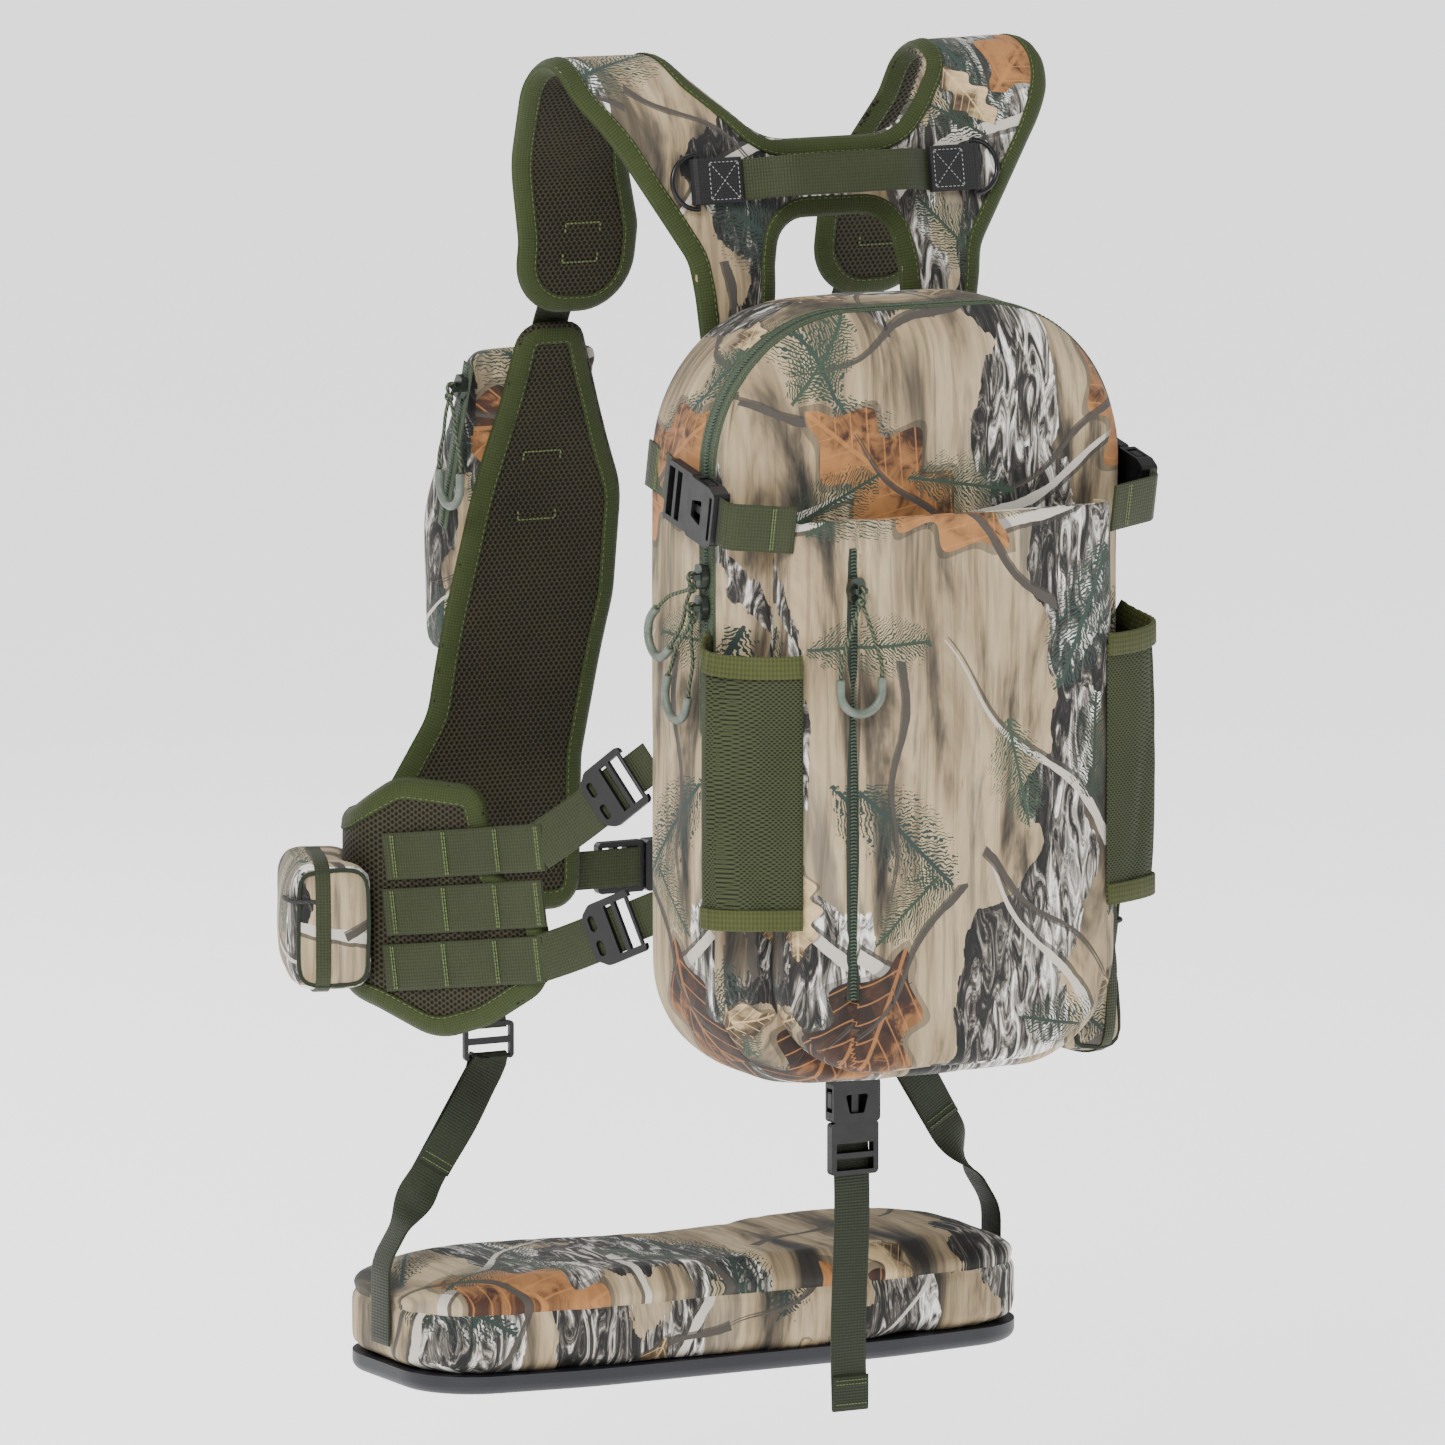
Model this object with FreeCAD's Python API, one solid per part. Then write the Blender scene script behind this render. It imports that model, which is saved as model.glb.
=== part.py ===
"""Hunting backpack: a day pack carried by a padded yoke, two vest panels and a hip belt,
with a foam seat hung below. Millimetres. Origin at the middle of the flat back pad face;
+X is the wearer's right, +Y is the way the wearer faces, +Z is up."""
import FreeCAD, Part
import math
import os
from FreeCAD import Matrix, Placement, Vector

# ---------------------------------------------------------------- driving dimensions
# Pack body: a soft box seen from behind as a rounded rectangle.
BAG_WIDTH = 280.0
BAG_BOTTOM = -237.0
BAG_TOP = 238.0
BAG_TOP_RADIUS = 95.0
BAG_BOTTOM_RADIUS = 70.0
BAG_SIDE_DEPTH = 68.0
CLOTH = 3.0
BACK_PAD = 12.0
BACK_PAD_INSET = 8.0
FRAME_SHEET = 2.0
FRAME_SHEET_INSET = 16.0

# Main zipper: an inverted U whose tape is part of the bag's side wall.
TAPE_WIDTH = 18.0
TAPE_THICKNESS = 1.2
COIL_WIDTH = 3.2
COIL_HEIGHT = 1.5
ZIP_END_Z = -21.0

# Front panel: a dome from the zipper to the flat face that carries the stash pocket.
PANEL_RISE = 24.0
PANEL_SIDE_INSET = 28.0
PANEL_BOTTOM_INSET = 12.0
PANEL_TOP_INSET = 48.0

# Stash pocket on the front panel, open along its top, with a second zipper in its face.
STASH_DEPTH = 28.0
STASH_TOP = 118.0
STASH_BOTTOM_RADIUS = 60.0
STASH_EDGE_RADIUS = 13.0
STASH_ZIP_X = -72.0
STASH_ZIP_TOP = 100.0
STASH_ZIP_BOTTOM = -178.0

# Mesh side pockets in the corners between the bag's side and the stash pocket.
SIDE_POCKET_BOTTOM = -132.0
SIDE_POCKET_TOP = 41.0
SIDE_POCKET_BULGE = 11.0
MESH = 1.6
TRIM_HEIGHT = 12.0
TRIM_EXTRA = 1.0

# Padded yoke over the shoulders.
YOKE_THICKNESS = 10.0
YOKE_ROOT = 36.0
YOKE_NECK_Y = 16.0
YOKE_LEG_INNER = 47.0
YOKE_LEG_OUTER = 93.0
YOKE_ARCH_TOP = 286.0
YOKE_NECK_LOW = 332.0
YOKE_RIDGE_INNER = 89.0
YOKE_RIDGE_OUTER = 167.0
YOKE_END_CENTRE = 105.0
YOKE_END_WIDTH = 80.0
YOKE_END_Z = 217.0
YOKE_RIDGE_Y = 75.0
YOKE_RIDGE_Z = 408.0
YOKE_END_Y = 165.0

# Haul handle, its stitched tabs and the D-rings.
HAUL_WEBBING = 25.0
WEBBING_THICKNESS = 1.8
HANDLE_Z = 309.0
HANDLE_STANDOFF = 22.0
TAB_INNER = 66.0
TAB_OUTER = 97.0
TAB_THICKNESS = 2.2
TAB_MARGIN = 1.5
RING_WIRE = 3.0

# Vest panels hanging in front of the wearer, and the pouches on them.
VEST_THICKNESS = 9.0
VEST_TOP_Z = 206.0
VEST_BOTTOM_Z = -172.0
VEST_TOP_Y = 174.0
VEST_CHEST_Y = 208.0
VEST_CHEST_Z = 108.0
VEST_FRONT_Y = 222.0
VEST_POUCH_INNER = 60.0
VEST_POUCH_OUTER = 156.0
VEST_POUCH_TOP = 192.0
VEST_POUCH_BOTTOM = -12.0
VEST_POUCH_DEPTH = 42.0
VEST_ZIP_LENGTH = 112.0

# Hip belt wings with rows of load webbing.
WING_THICKNESS = 8.0
WING_START = (170.0, 62.0)
WING_CORNER = (252.0, 175.0)
WING_TURN_X = 214.0
WING_END_X = 168.0
WING_TOP = -68.0
WING_LOW = -230.0
BELT_WEBBING = 30.0
ROW_PITCH = 35.0
ROW_TOP_Z = -104.0
ROW_FALL = 7.0
ROW_LENGTH = 110.0

# Ladder locks that tie the belt to the bag.
LOCK_CENTRE = (150.0, 13.0)
LOCK_UPPER_Z = -64.0
LOCK_LOWER_Z = -151.0
LOCK_LENGTH = 38.0
LOCK_THICKNESS = 3.4
LOCK_BAR = 2.8

# Hip pouches; the right one is the bigger.
POUCH_LENGTH = 96.0
POUCH_OFFSET = 18.0
POUCH_SINK = 4.0
POUCH_LEAN = 0.3
POUCH_THICKNESS = 44.0
LEFT_POUCH_TOP = -119.0
LEFT_POUCH_HEIGHT = 85.0
RIGHT_POUCH_TOP = -163.0
RIGHT_POUCH_HEIGHT = 123.0
POUCH_RADIUS = 14.0
BUNGEE = 3.0
BUNGEE_LEVEL = 0.3

# Side-release buckles.
BUCKLE_WALL = 2.0
BUCKLE_THICKNESS = 11.0
SOCKET_LENGTH = 33.0
PLUG_LENGTH = 33.0
ARM_LENGTH = 24.0
ARM_WIDTH = 3.5
COMPRESSION_REAR = (5.0, 145.0)
COMPRESSION_BUCKLE = (-90.0, 125.0)
COMPRESSION_STANDOFF = 3.5
WAIST_Z = -153.0
WAIST_WEBBING = 25.0
KEEPER_Y = -18.0
KEEPER_WEBBING = 25.0
KEEPER_GAP = 9.0
KEEPER_END_Z = -462.0

# Zipper sliders and cord pulls.
SLIDER_WIDTH = 12.0
SLIDER_LENGTH = 15.0
SLIDER_HEIGHT = 4.6
CROWN_HEIGHT = 4.4
CROWN_BAR = 1.8
PULL_CORD = 2.2
PULL_LENGTH = 78.0
KNOT_RADIUS = 3.8
GRIP_DIAMETER = 5.5
GRIP_WIDTH = 34.0
MAIN_UPPER_SPLAY = 52.0
MAIN_LOWER_SPLAY = 22.0
MAIN_SLIDER_UPPER_Z = 80.0
MAIN_SLIDER_LOWER_Z = 61.0
STASH_SLIDER_Z = 75.0

# Foam seat and the straps that hang it.
SEAT_WIDTH = 436.0
SEAT_DEPTH = 172.0
SEAT_TOP = -398.0
SEAT_BOTTOM = -461.0
SEAT_BASE = 12.0
SEAT_TOP_RADIUS = 10.0
SEAT_BASE_RADIUS = 6.0
SEAT_BASE_INSET = 1.5
SEAT_CENTRE_Y = 203.0
SEAT_NOTCH = 26.0
SEAT_BALANCE = 3.7
SEAT_WEBBING = 25.0
SEAT_HANG_X = 143.0
SEAT_HANG_Z = -249.0
SEAT_STRAP_END_Z = -436.0

SEAT_TAIL = 80.0
SEAT_TWIST = 42.0
SEAT_STRAP_BEND_RISE = 14.0
SEAT_STRAP_BEND = 30.0
ADJUSTER_LENGTH = 24.0
ADJUSTER_THICKNESS = 3.0
WAIST_BUCKLE_X = -10.0
PLUG_HALF = 3.2

# Clearances.
RUNNING_GAP = 0.4
SEAT_GAP = 0.3

# ---------------------------------------------------------------- derived places
BAG_HALF = BAG_WIDTH / 2
PAD_BACK = -BACK_PAD
TAPE_BACK = PAD_BACK - BAG_SIDE_DEPTH
TAPE_FRONT = TAPE_BACK - TAPE_WIDTH
PANEL_FACE = TAPE_FRONT - PANEL_RISE
STASH_FACE = PANEL_FACE - STASH_DEPTH
VEST_OUTER_Y = VEST_FRONT_Y + VEST_THICKNESS
SEAT_STRAP_Y = SEAT_CENTRE_Y - SEAT_BALANCE
PLANES = {
    "xy": (Vector(1, 0, 0), Vector(0, 1, 0), Vector(0, 0, 1)),
    "xz": (Vector(1, 0, 0), Vector(0, 0, 1), Vector(0, 1, 0)),
    "yz": (Vector(0, 1, 0), Vector(0, 0, 1), Vector(1, 0, 0)),
}
FAR = 1000.0


# ---------------------------------------------------------------- geometry helpers
def rounded_wire(corners, plane, level=0.0, closed=True):
    """Wire through (a, b, radius) corners in a plane, each corner turned by a tangent arc."""
    first, second, normal = PLANES[plane]

    def place(point):
        return first * point.x + second * point.y + normal * level

    count = len(corners)
    turns = []
    for index, (a, b, radius) in enumerate(corners):
        here = Vector(a, b, 0)
        if radius <= 0 or (not closed and index in (0, count - 1)):
            turns.append((here, None, here))
            continue
        before = Vector(*corners[index - 1][:2], 0)
        after = Vector(*corners[(index + 1) % count][:2], 0)
        back = (before - here).normalize()
        ahead = (after - here).normalize()
        half = back.getAngle(ahead) / 2
        bisector = (back + ahead).normalize()
        reach = radius / math.tan(half)
        middle = here + bisector * (radius / math.sin(half) - radius)
        turns.append((here + back * reach, middle, here + ahead * reach))
    edges = []
    for index, (start, middle, end) in enumerate(turns):
        previous = turns[index - 1][2]
        if (closed or index > 0) and (start - previous).Length > 1e-6:
            edges.append(Part.LineSegment(place(previous), place(start)).toShape())
        if middle is not None:
            edges.append(Part.Arc(place(start), place(middle), place(end)).toShape())
    return Part.Wire(edges)


def prism(corners, plane, low, high):
    """Solid with a closed rounded outline, between two levels of its plane's normal."""
    face = Part.Face(rounded_wire(corners, plane, low))
    return face.extrude(PLANES[plane][2] * (high - low))


def band(corners, plane, thickness, low, high):
    """Strip of sheet along an open rounded path; a positive thickness lies on its right."""
    face = rounded_wire(corners, plane, low, closed=False).makeOffset2D(thickness, 0, True, True)
    return face.extrude(PLANES[plane][2] * (high - low))


def box(x, y, z):
    """Box between pairs of x, y and z values."""
    low = Vector(min(x), min(y), min(z))
    return Part.makeBox(abs(x[1] - x[0]), abs(y[1] - y[0]), abs(z[1] - z[0]), low)


def rod(start, end, radius):
    """Round rod between two points."""
    return Part.makeCylinder(radius, (end - start).Length, start, end - start)


def placed(shape, origin, along, up):
    """Copy of a local shape, its X turned along one direction and its Z towards another."""
    x = Vector(along).normalize()
    y = Vector(up).cross(x).normalize()
    z = x.cross(y)
    turn = Matrix(x.x, y.x, z.x, origin[0], x.y, y.y, z.y, origin[1], x.z, y.z, z.z, origin[2],
                  0, 0, 0, 1)
    copy = shape.copy()
    copy.Placement = Placement(turn).multiply(copy.Placement)
    return copy


def mirrored(shape):
    """The same shape on the other side of the wearer."""
    return shape.mirror(Vector(0, 0, 0), Vector(1, 0, 0))


def sided(shape, side):
    """The shape as built for the wearer's right, or its mirror image for the left."""
    return shape if side > 0 else mirrored(shape)


def fused(shapes):
    """Union of shapes, with seams removed."""
    return shapes[0].multiFuse(shapes[1:]).removeSplitter()


def fillet_where(shape, radius, keep):
    """Round the edges that a test of their centre and direction picks out."""
    edges = [edge for edge in shape.Edges if keep(edge)]
    return shape.makeFillet(radius, edges)


def save(name, *shapes):
    """Write one node; its solids stay separate."""
    solids = [solid for shape in shapes for solid in shape.Solids]
    shape = solids[0] if len(solids) == 1 else Part.makeCompound(solids)
    shape.exportStep(f"parts/{name}.step")
    faults = "" if all(s.isValid() and s.Volume > 0 for s in solids) else "  NOT VALID"
    print(f"{name:24s} solids {len(solids):2d} faces {len(shape.Faces):4d} "
          f"volume {shape.Volume / 1000:9.2f} cm3{faults}")
    return shape


# ---------------------------------------------------------------- pack body
def bag_corners(side=0.0, bottom=0.0, top=0.0):
    """Rounded outline of the bag seen from behind, drawn in by three insets."""
    half = BAG_HALF - side
    low = BAG_BOTTOM + bottom
    high = BAG_TOP - top
    low_radius = BAG_BOTTOM_RADIUS - min(side, bottom)
    high_radius = BAG_TOP_RADIUS - min(side, top)
    return [(-half, low, low_radius), (half, low, low_radius),
            (half, high, high_radius), (-half, high, high_radius)]


def bag_prism(inset, low, high):
    """Slice of the bag's outline between two y values."""
    return prism(bag_corners(inset, inset, inset), "xz", low, high)


def main_shell():
    """Side and back walls in cloth, open at the front; below the zipper they reach the panel."""
    walls = bag_prism(0, TAPE_BACK, PAD_BACK).cut(bag_prism(CLOTH, TAPE_BACK, PAD_BACK - CLOTH))
    lower = bag_prism(0, TAPE_FRONT, TAPE_BACK).cut(bag_prism(CLOTH, TAPE_FRONT, TAPE_BACK))
    lower = lower.cut(box((-FAR, FAR), (-FAR, FAR), (ZIP_END_Z, FAR)))
    return fused([walls, lower])


def main_tape():
    """Zipper tape that closes the wall above the shell's cut-down edge, and its coil."""
    strip = bag_prism(0, TAPE_FRONT, TAPE_BACK).cut(bag_prism(TAPE_THICKNESS, TAPE_FRONT, TAPE_BACK))
    middle = (TAPE_FRONT + TAPE_BACK) / 2
    coil = bag_prism(-COIL_HEIGHT, middle - COIL_WIDTH / 2, middle + COIL_WIDTH / 2)
    coil = coil.cut(bag_prism(0, TAPE_FRONT, TAPE_BACK))
    below = box((-FAR, FAR), (-FAR, FAR), (-FAR, ZIP_END_Z))
    return fused([strip, coil]).cut(below)


def panel_loft(wall):
    """Dome of the front panel, drawn in all round by a wall thickness."""
    sections = []
    for share, depth in ((0.0, 0.0), (0.22, 0.62), (1.0, 1.0)):
        corners = bag_corners(PANEL_SIDE_INSET * share + wall, PANEL_BOTTOM_INSET * share + wall,
                              PANEL_TOP_INSET * share + wall)
        level = TAPE_FRONT - (PANEL_RISE - wall) * depth
        sections.append(rounded_wire(corners, "xz", level))
    return Part.makeLoft(sections, True, False)


def stash_block(wall):
    """Outer form of the stash pocket, or its hollow when drawn in by the cloth."""
    half = BAG_HALF - PANEL_SIDE_INSET - wall
    low = BAG_BOTTOM + PANEL_BOTTOM_INSET + wall
    top = STASH_TOP + (wall and 1.0)
    radius = STASH_BOTTOM_RADIUS - wall
    corners = [(-half, low, radius), (half, low, radius), (half, top, 0), (-half, top, 0)]
    block = prism(corners, "xz", STASH_FACE + wall, PANEL_FACE)

    def on_front_rim(edge):
        middle = edge.CenterOfMass
        flat = all(abs(v.Point.y - STASH_FACE - wall) < 1e-6 for v in edge.Vertexes)
        return flat and middle.z < top - 1

    return fillet_where(block, STASH_EDGE_RADIUS - wall, on_front_rim)


def stash_tape():
    """Zipper strip sewn on the face of the stash pocket, and its coil."""
    strip = box((STASH_ZIP_X - TAPE_WIDTH / 2, STASH_ZIP_X + TAPE_WIDTH / 2),
                (STASH_FACE - TAPE_THICKNESS, STASH_FACE), (STASH_ZIP_BOTTOM, STASH_ZIP_TOP))
    coil = box((STASH_ZIP_X - COIL_WIDTH / 2, STASH_ZIP_X + COIL_WIDTH / 2),
               (STASH_FACE - TAPE_THICKNESS - COIL_HEIGHT, STASH_FACE),
               (STASH_ZIP_BOTTOM, STASH_ZIP_TOP))
    return fused([strip, coil])


def side_pocket(panel, stash):
    """Mesh pocket with elastic trims, bulging out of the corner beside the stash pocket."""
    rear = Vector(BAG_HALF, TAPE_FRONT + 1, 0)
    front = Vector(BAG_HALF - PANEL_SIDE_INSET - STASH_EDGE_RADIUS / 3, STASH_FACE + 3, 0)
    inner = Vector(BAG_HALF - PANEL_SIDE_INSET - 14, PANEL_FACE + 6, 0)
    bulge = Vector(BAG_HALF + SIDE_POCKET_BULGE, (TAPE_FRONT + STASH_FACE) / 2, 0)

    def slice_between(inset, low, high):
        out = Vector((front - rear).y, (rear - front).x, 0).normalize() * inset
        ahead = (front - rear).normalize() * inset
        points = (rear + out + ahead, bulge + out, front + out - ahead)
        arc = Part.Arc(*points).toShape()
        closing = [Part.LineSegment(points[2], inner).toShape(),
                   Part.LineSegment(inner, points[0]).toShape()]
        face = Part.Face(Part.Wire([arc] + closing))
        return face.translated(Vector(0, 0, low)).extrude(Vector(0, 0, high - low))

    bag = slice_between(0, SIDE_POCKET_BOTTOM, SIDE_POCKET_TOP)
    hollow = slice_between(MESH, SIDE_POCKET_BOTTOM + MESH, SIDE_POCKET_TOP)
    mesh = bag.cut(hollow)
    trims = []
    for low in (SIDE_POCKET_BOTTOM, SIDE_POCKET_TOP - TRIM_HEIGHT):
        outer = slice_between(-TRIM_EXTRA, low, low + TRIM_HEIGHT)
        trims.append(outer.cut(slice_between(0, low, low + TRIM_HEIGHT)))
    pocket = fused([mesh] + trims)
    return max(pocket.cut(panel).cut(stash).cut(bag_prism(0, TAPE_FRONT, 0)).Solids,
               key=lambda solid: solid.Volume)


def back_pad():
    """Foam pad on the wearer's side, flat, with rounded rims."""
    pad = bag_prism(BACK_PAD_INSET, PAD_BACK, 0)
    return fillet_where(pad, BACK_PAD / 3, lambda edge: abs(edge.CenterOfMass.y) < 1e-6)


def frame_sheet():
    """Stiff plastic sheet inside the bag, against its back wall."""
    front = PAD_BACK - CLOTH
    return bag_prism(FRAME_SHEET_INSET, front - FRAME_SHEET, front)


# ---------------------------------------------------------------- yoke, handle and rings
def yoke_profile():
    """Side view of the yoke: up the wearer's back, over the shoulder and down the front."""
    root_y = PAD_BACK + YOKE_THICKNESS
    return [(root_y, BAG_TOP - YOKE_ROOT, 0), (root_y, BAG_TOP + 4, 80),
            (YOKE_NECK_Y, YOKE_NECK_LOW + 12, 60),
            (YOKE_RIDGE_Y, YOKE_RIDGE_Z, 42), (YOKE_END_Y - 22, YOKE_END_Z + 95, 80),
            (YOKE_END_Y, YOKE_END_Z - 6, 0)]


def yoke():
    """Right half of the yoke, cut from one curved pad by its outline from behind and in front."""
    pad = band(yoke_profile(), "yz", YOKE_THICKNESS, -FAR / 4, FAR / 4)
    top = YOKE_RIDGE_Z + 40
    foot = BAG_TOP - YOKE_ROOT
    behind = [(YOKE_LEG_INNER, foot, 0), (YOKE_LEG_OUTER, foot, 0),
              (YOKE_LEG_OUTER + 8, BAG_TOP + 24, 30), (YOKE_RIDGE_OUTER, YOKE_NECK_LOW + 34, 40),
              (YOKE_RIDGE_OUTER, top, 0), (YOKE_RIDGE_INNER, top, 0),
              (YOKE_RIDGE_INNER, YOKE_NECK_LOW + 44, 30), (YOKE_RIDGE_INNER / 2, YOKE_NECK_LOW, 40),
              (0.0, YOKE_NECK_LOW, 0), (0.0, YOKE_ARCH_TOP, 0), (YOKE_LEG_INNER - 9, YOKE_ARCH_TOP, 22),
              (YOKE_LEG_INNER - 3, YOKE_ARCH_TOP - 30, 10)]
    inner_end = YOKE_END_CENTRE - YOKE_END_WIDTH / 2
    outer_end = YOKE_END_CENTRE + YOKE_END_WIDTH / 2
    end_radius = YOKE_END_WIDTH / 2 - 6
    ahead = [(YOKE_RIDGE_INNER, top, 0), (YOKE_RIDGE_OUTER, top, 0), (YOKE_RIDGE_OUTER, YOKE_END_Z + 145, 40),
             (outer_end, YOKE_END_Z + 45, 40), (outer_end, YOKE_END_Z, end_radius),
             (inner_end, YOKE_END_Z, end_radius), (inner_end, YOKE_END_Z + 53, 30),
             (YOKE_RIDGE_INNER, YOKE_END_Z + 133, 30)]
    back_half = pad.common(prism(behind, "xz", -FAR / 4, YOKE_RIDGE_Y))
    front_half = pad.common(prism(ahead, "xz", YOKE_RIDGE_Y, FAR / 4))
    return fused([back_half, front_half])


def yoke_face_frame():
    """Point and directions of the yoke's outer face behind the neck, at the handle's height."""
    low, high = yoke_profile()[1:3]
    up = Vector(0, high[0] - low[0], high[1] - low[1]).normalize()
    outward = Vector(0, -up.z, up.y)
    share = (HANDLE_Z - low[1]) / (high[1] - low[1])
    centre = Vector(0, low[0] + (high[0] - low[0]) * share, HANDLE_Z)
    return centre, outward, up


def on_yoke(shape, offset):
    """Place a local shape (X across, Z off the pad) on the yoke's outer face."""
    centre, outward, up = yoke_face_frame()
    return placed(shape, centre + outward * offset, Vector(1, 0, 0), outward)


def haul_handle():
    """Webbing grip that stands off the yoke between the two tabs."""
    half = HAUL_WEBBING / 2
    path = [(-TAB_INNER - 22, 0, 0), (-TAB_INNER + 2, 0, 12), (-TAB_INNER + 22, HANDLE_STANDOFF, 26),
            (TAB_INNER - 22, HANDLE_STANDOFF, 26), (TAB_INNER - 2, 0, 12), (TAB_INNER + 22, 0, 0)]
    strip = band(path, "xz", WEBBING_THICKNESS, -half, half)
    lowest = strip.BoundBox.ZMin
    return on_yoke(strip.translated(Vector(0, 0, -lowest)), 0)


def handle_tab():
    """Right stitched tab over the handle's end, rolled round the bar of the D-ring."""
    half = HAUL_WEBBING / 2 + TAB_MARGIN
    base = WEBBING_THICKNESS
    plate = box((TAB_INNER, TAB_OUTER), (-half, half), (base, base + TAB_THICKNESS))
    foot = box((TAB_INNER + 22, TAB_OUTER), (-half, half), (0, base))
    outer = RING_WIRE / 2 + RUNNING_GAP + TAB_THICKNESS
    centre = Vector(TAB_OUTER, -half, outer)
    roll = rod(centre, Vector(TAB_OUTER, half, outer), outer)
    bore = rod(centre + Vector(0, -1, 0), Vector(TAB_OUTER, half + 1, outer), outer - TAB_THICKNESS)
    return fused([plate, foot, roll]).cut(bore)


def d_ring():
    """Welded wire D-ring; its straight bar turns in the tab."""
    wire = RING_WIRE / 2
    height = wire + RUNNING_GAP + TAB_THICKNESS
    centre = Vector(TAB_OUTER, 0, height)
    reach = HAUL_WEBBING / 2 + TAB_MARGIN + 3 * RUNNING_GAP + wire
    sweep = Part.makeTorus(reach, wire, Vector(0, 0, 0), Vector(0, 0, 1), -180, 180, 180)
    bow = placed(sweep, centre, Vector(0, -1, 0), Vector(0, 0, 1))
    bar = rod(centre + Vector(0, -reach, 0), centre + Vector(0, reach, 0), wire)
    ends = [Part.makeSphere(wire, centre + Vector(0, reach * sign, 0)) for sign in (-1, 1)]
    return fused([bow, bar] + ends)


# ---------------------------------------------------------------- vest panels and pouches
def vest_profile():
    """Side view of a vest panel's mesh face, from the collar bone down to the belt."""
    return [(VEST_TOP_Y, VEST_TOP_Z + 4, 0), (VEST_CHEST_Y, VEST_CHEST_Z, 260),
            (VEST_FRONT_Y, 0, 400), (VEST_FRONT_Y, VEST_BOTTOM_Z, 0)]


def vest_band():
    """Curved sheet of the panel's thickness, wide enough for its outline."""
    return band(vest_profile(), "yz", -VEST_THICKNESS, 0, FAR / 4)


def vest_panel():
    """Right vest panel: narrow at the top, wide at the chest, flared to meet the belt."""
    outline = [(88, VEST_TOP_Z, 14), (66, 152, 60), (42, 96, 60), (43, 26, 80), (64, -76, 60),
               (66, VEST_BOTTOM_Z, 18), (WING_END_X + 30, VEST_BOTTOM_Z, 18),
               (WING_END_X + 30, -88, 14), (170, -44, 50), (158, 26, 80), (146, 90, 60),
               (134, 152, 60), (128, VEST_TOP_Z, 14)]
    return vest_band().common(prism(outline, "xz", 0, FAR / 2))


def vest_pouch():
    """Soft pouch on the front of a vest panel."""
    deep = VEST_OUTER_Y + VEST_POUCH_DEPTH
    slope = VEST_TOP_Y + VEST_THICKNESS
    profile = [(slope - 4, VEST_POUCH_TOP, 0), (slope + 26, VEST_POUCH_TOP, 12),
               (deep, VEST_CHEST_Z - 24, 70), (deep, VEST_POUCH_BOTTOM, 16),
               (VEST_FRONT_Y - 10, VEST_POUCH_BOTTOM, 0), (VEST_FRONT_Y - 12, 60, 0)]
    block = prism(profile, "yz", VEST_POUCH_INNER, VEST_POUCH_OUTER)
    top, bottom = vest_profile()[0][1], VEST_BOTTOM_Z
    behind = prism([(0, top, 0)] + vest_profile() + [(0, bottom, 0)], "yz", 0, FAR / 4)

    def on_front(edge):
        middle = edge.CenterOfMass
        at_side = min(abs(middle.x - VEST_POUCH_INNER), abs(middle.x - VEST_POUCH_OUTER)) < 1e-6
        return at_side and middle.y > slope + 18 and middle.z > VEST_POUCH_BOTTOM + 1

    block = fillet_where(block, 9, on_front)
    return max(block.cut(vest_band()).cut(behind).Solids, key=lambda solid: solid.Volume)


def vest_zip_line():
    """Start and direction of the pouch zipper on the pouch's outer side."""
    down = Vector(0, VEST_CHEST_Y - VEST_TOP_Y, VEST_CHEST_Z - VEST_TOP_Z).normalize()
    start = Vector(VEST_POUCH_OUTER, VEST_TOP_Y + VEST_THICKNESS + 14, VEST_POUCH_TOP - 12)
    return start, down


def vest_tape():
    """Zipper tape and coil along the pouch's outer side."""
    start, down = vest_zip_line()
    strip = box((0, VEST_ZIP_LENGTH), (-TAPE_WIDTH / 3, TAPE_WIDTH / 3), (0, TAPE_THICKNESS))
    coil = box((0, VEST_ZIP_LENGTH), (-COIL_WIDTH / 2, COIL_WIDTH / 2),
               (0, TAPE_THICKNESS + COIL_HEIGHT))
    return placed(fused([strip, coil]), start, down, Vector(1, 0, 0))


# ---------------------------------------------------------------- hip belt
def wing_frame():
    """Start of the wing's flat stretch and its unit directions in plan."""
    start = Vector(WING_START[0], WING_START[1], 0)
    along = (Vector(WING_CORNER[0], WING_CORNER[1], 0) - start).normalize()
    return start, along, Vector(along.y, -along.x, 0)


def wing_path():
    """Plan of the wing's inner face: along the hip, round it and onto the vest panel."""
    return [(*WING_START, 0), (*WING_CORNER, 40), (WING_TURN_X, VEST_OUTER_Y, 26),
            (WING_END_X, VEST_OUTER_Y, 0)]


def hip_wing():
    """Right padded wing; its outline is drawn on the flat stretch and cut through the bend."""
    sheet = band(wing_path(), "xy", WING_THICKNESS, WING_LOW - 10, WING_TOP + 10)
    start, along, out = wing_frame()
    outline = [(0, -148, 24), (0, -192, 24), (40, -218, 40), (76, WING_LOW, 40), (118, -212, 40),
               (180, -196, 14), (180, -104, 14), (138, -92, 30), (104, WING_TOP, 30),
               (46, WING_TOP - 3, 16), (34, -124, 22)]
    cutter = placed(prism(outline, "xz", -180, 180), start, along, Vector(0, 0, 1))
    wing = sheet.common(cutter)
    return max(wing.Solids, key=lambda solid: solid.Volume)


def row_frame(row):
    """Start and directions of a webbing row on the wing's outer face."""
    start, along, out = wing_frame()
    face = start + out * WING_THICKNESS + Vector(0, 0, ROW_TOP_Z - ROW_PITCH * row)
    run = (along + Vector(0, 0, -math.tan(math.radians(ROW_FALL)))).normalize()
    return face, run, out


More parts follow.
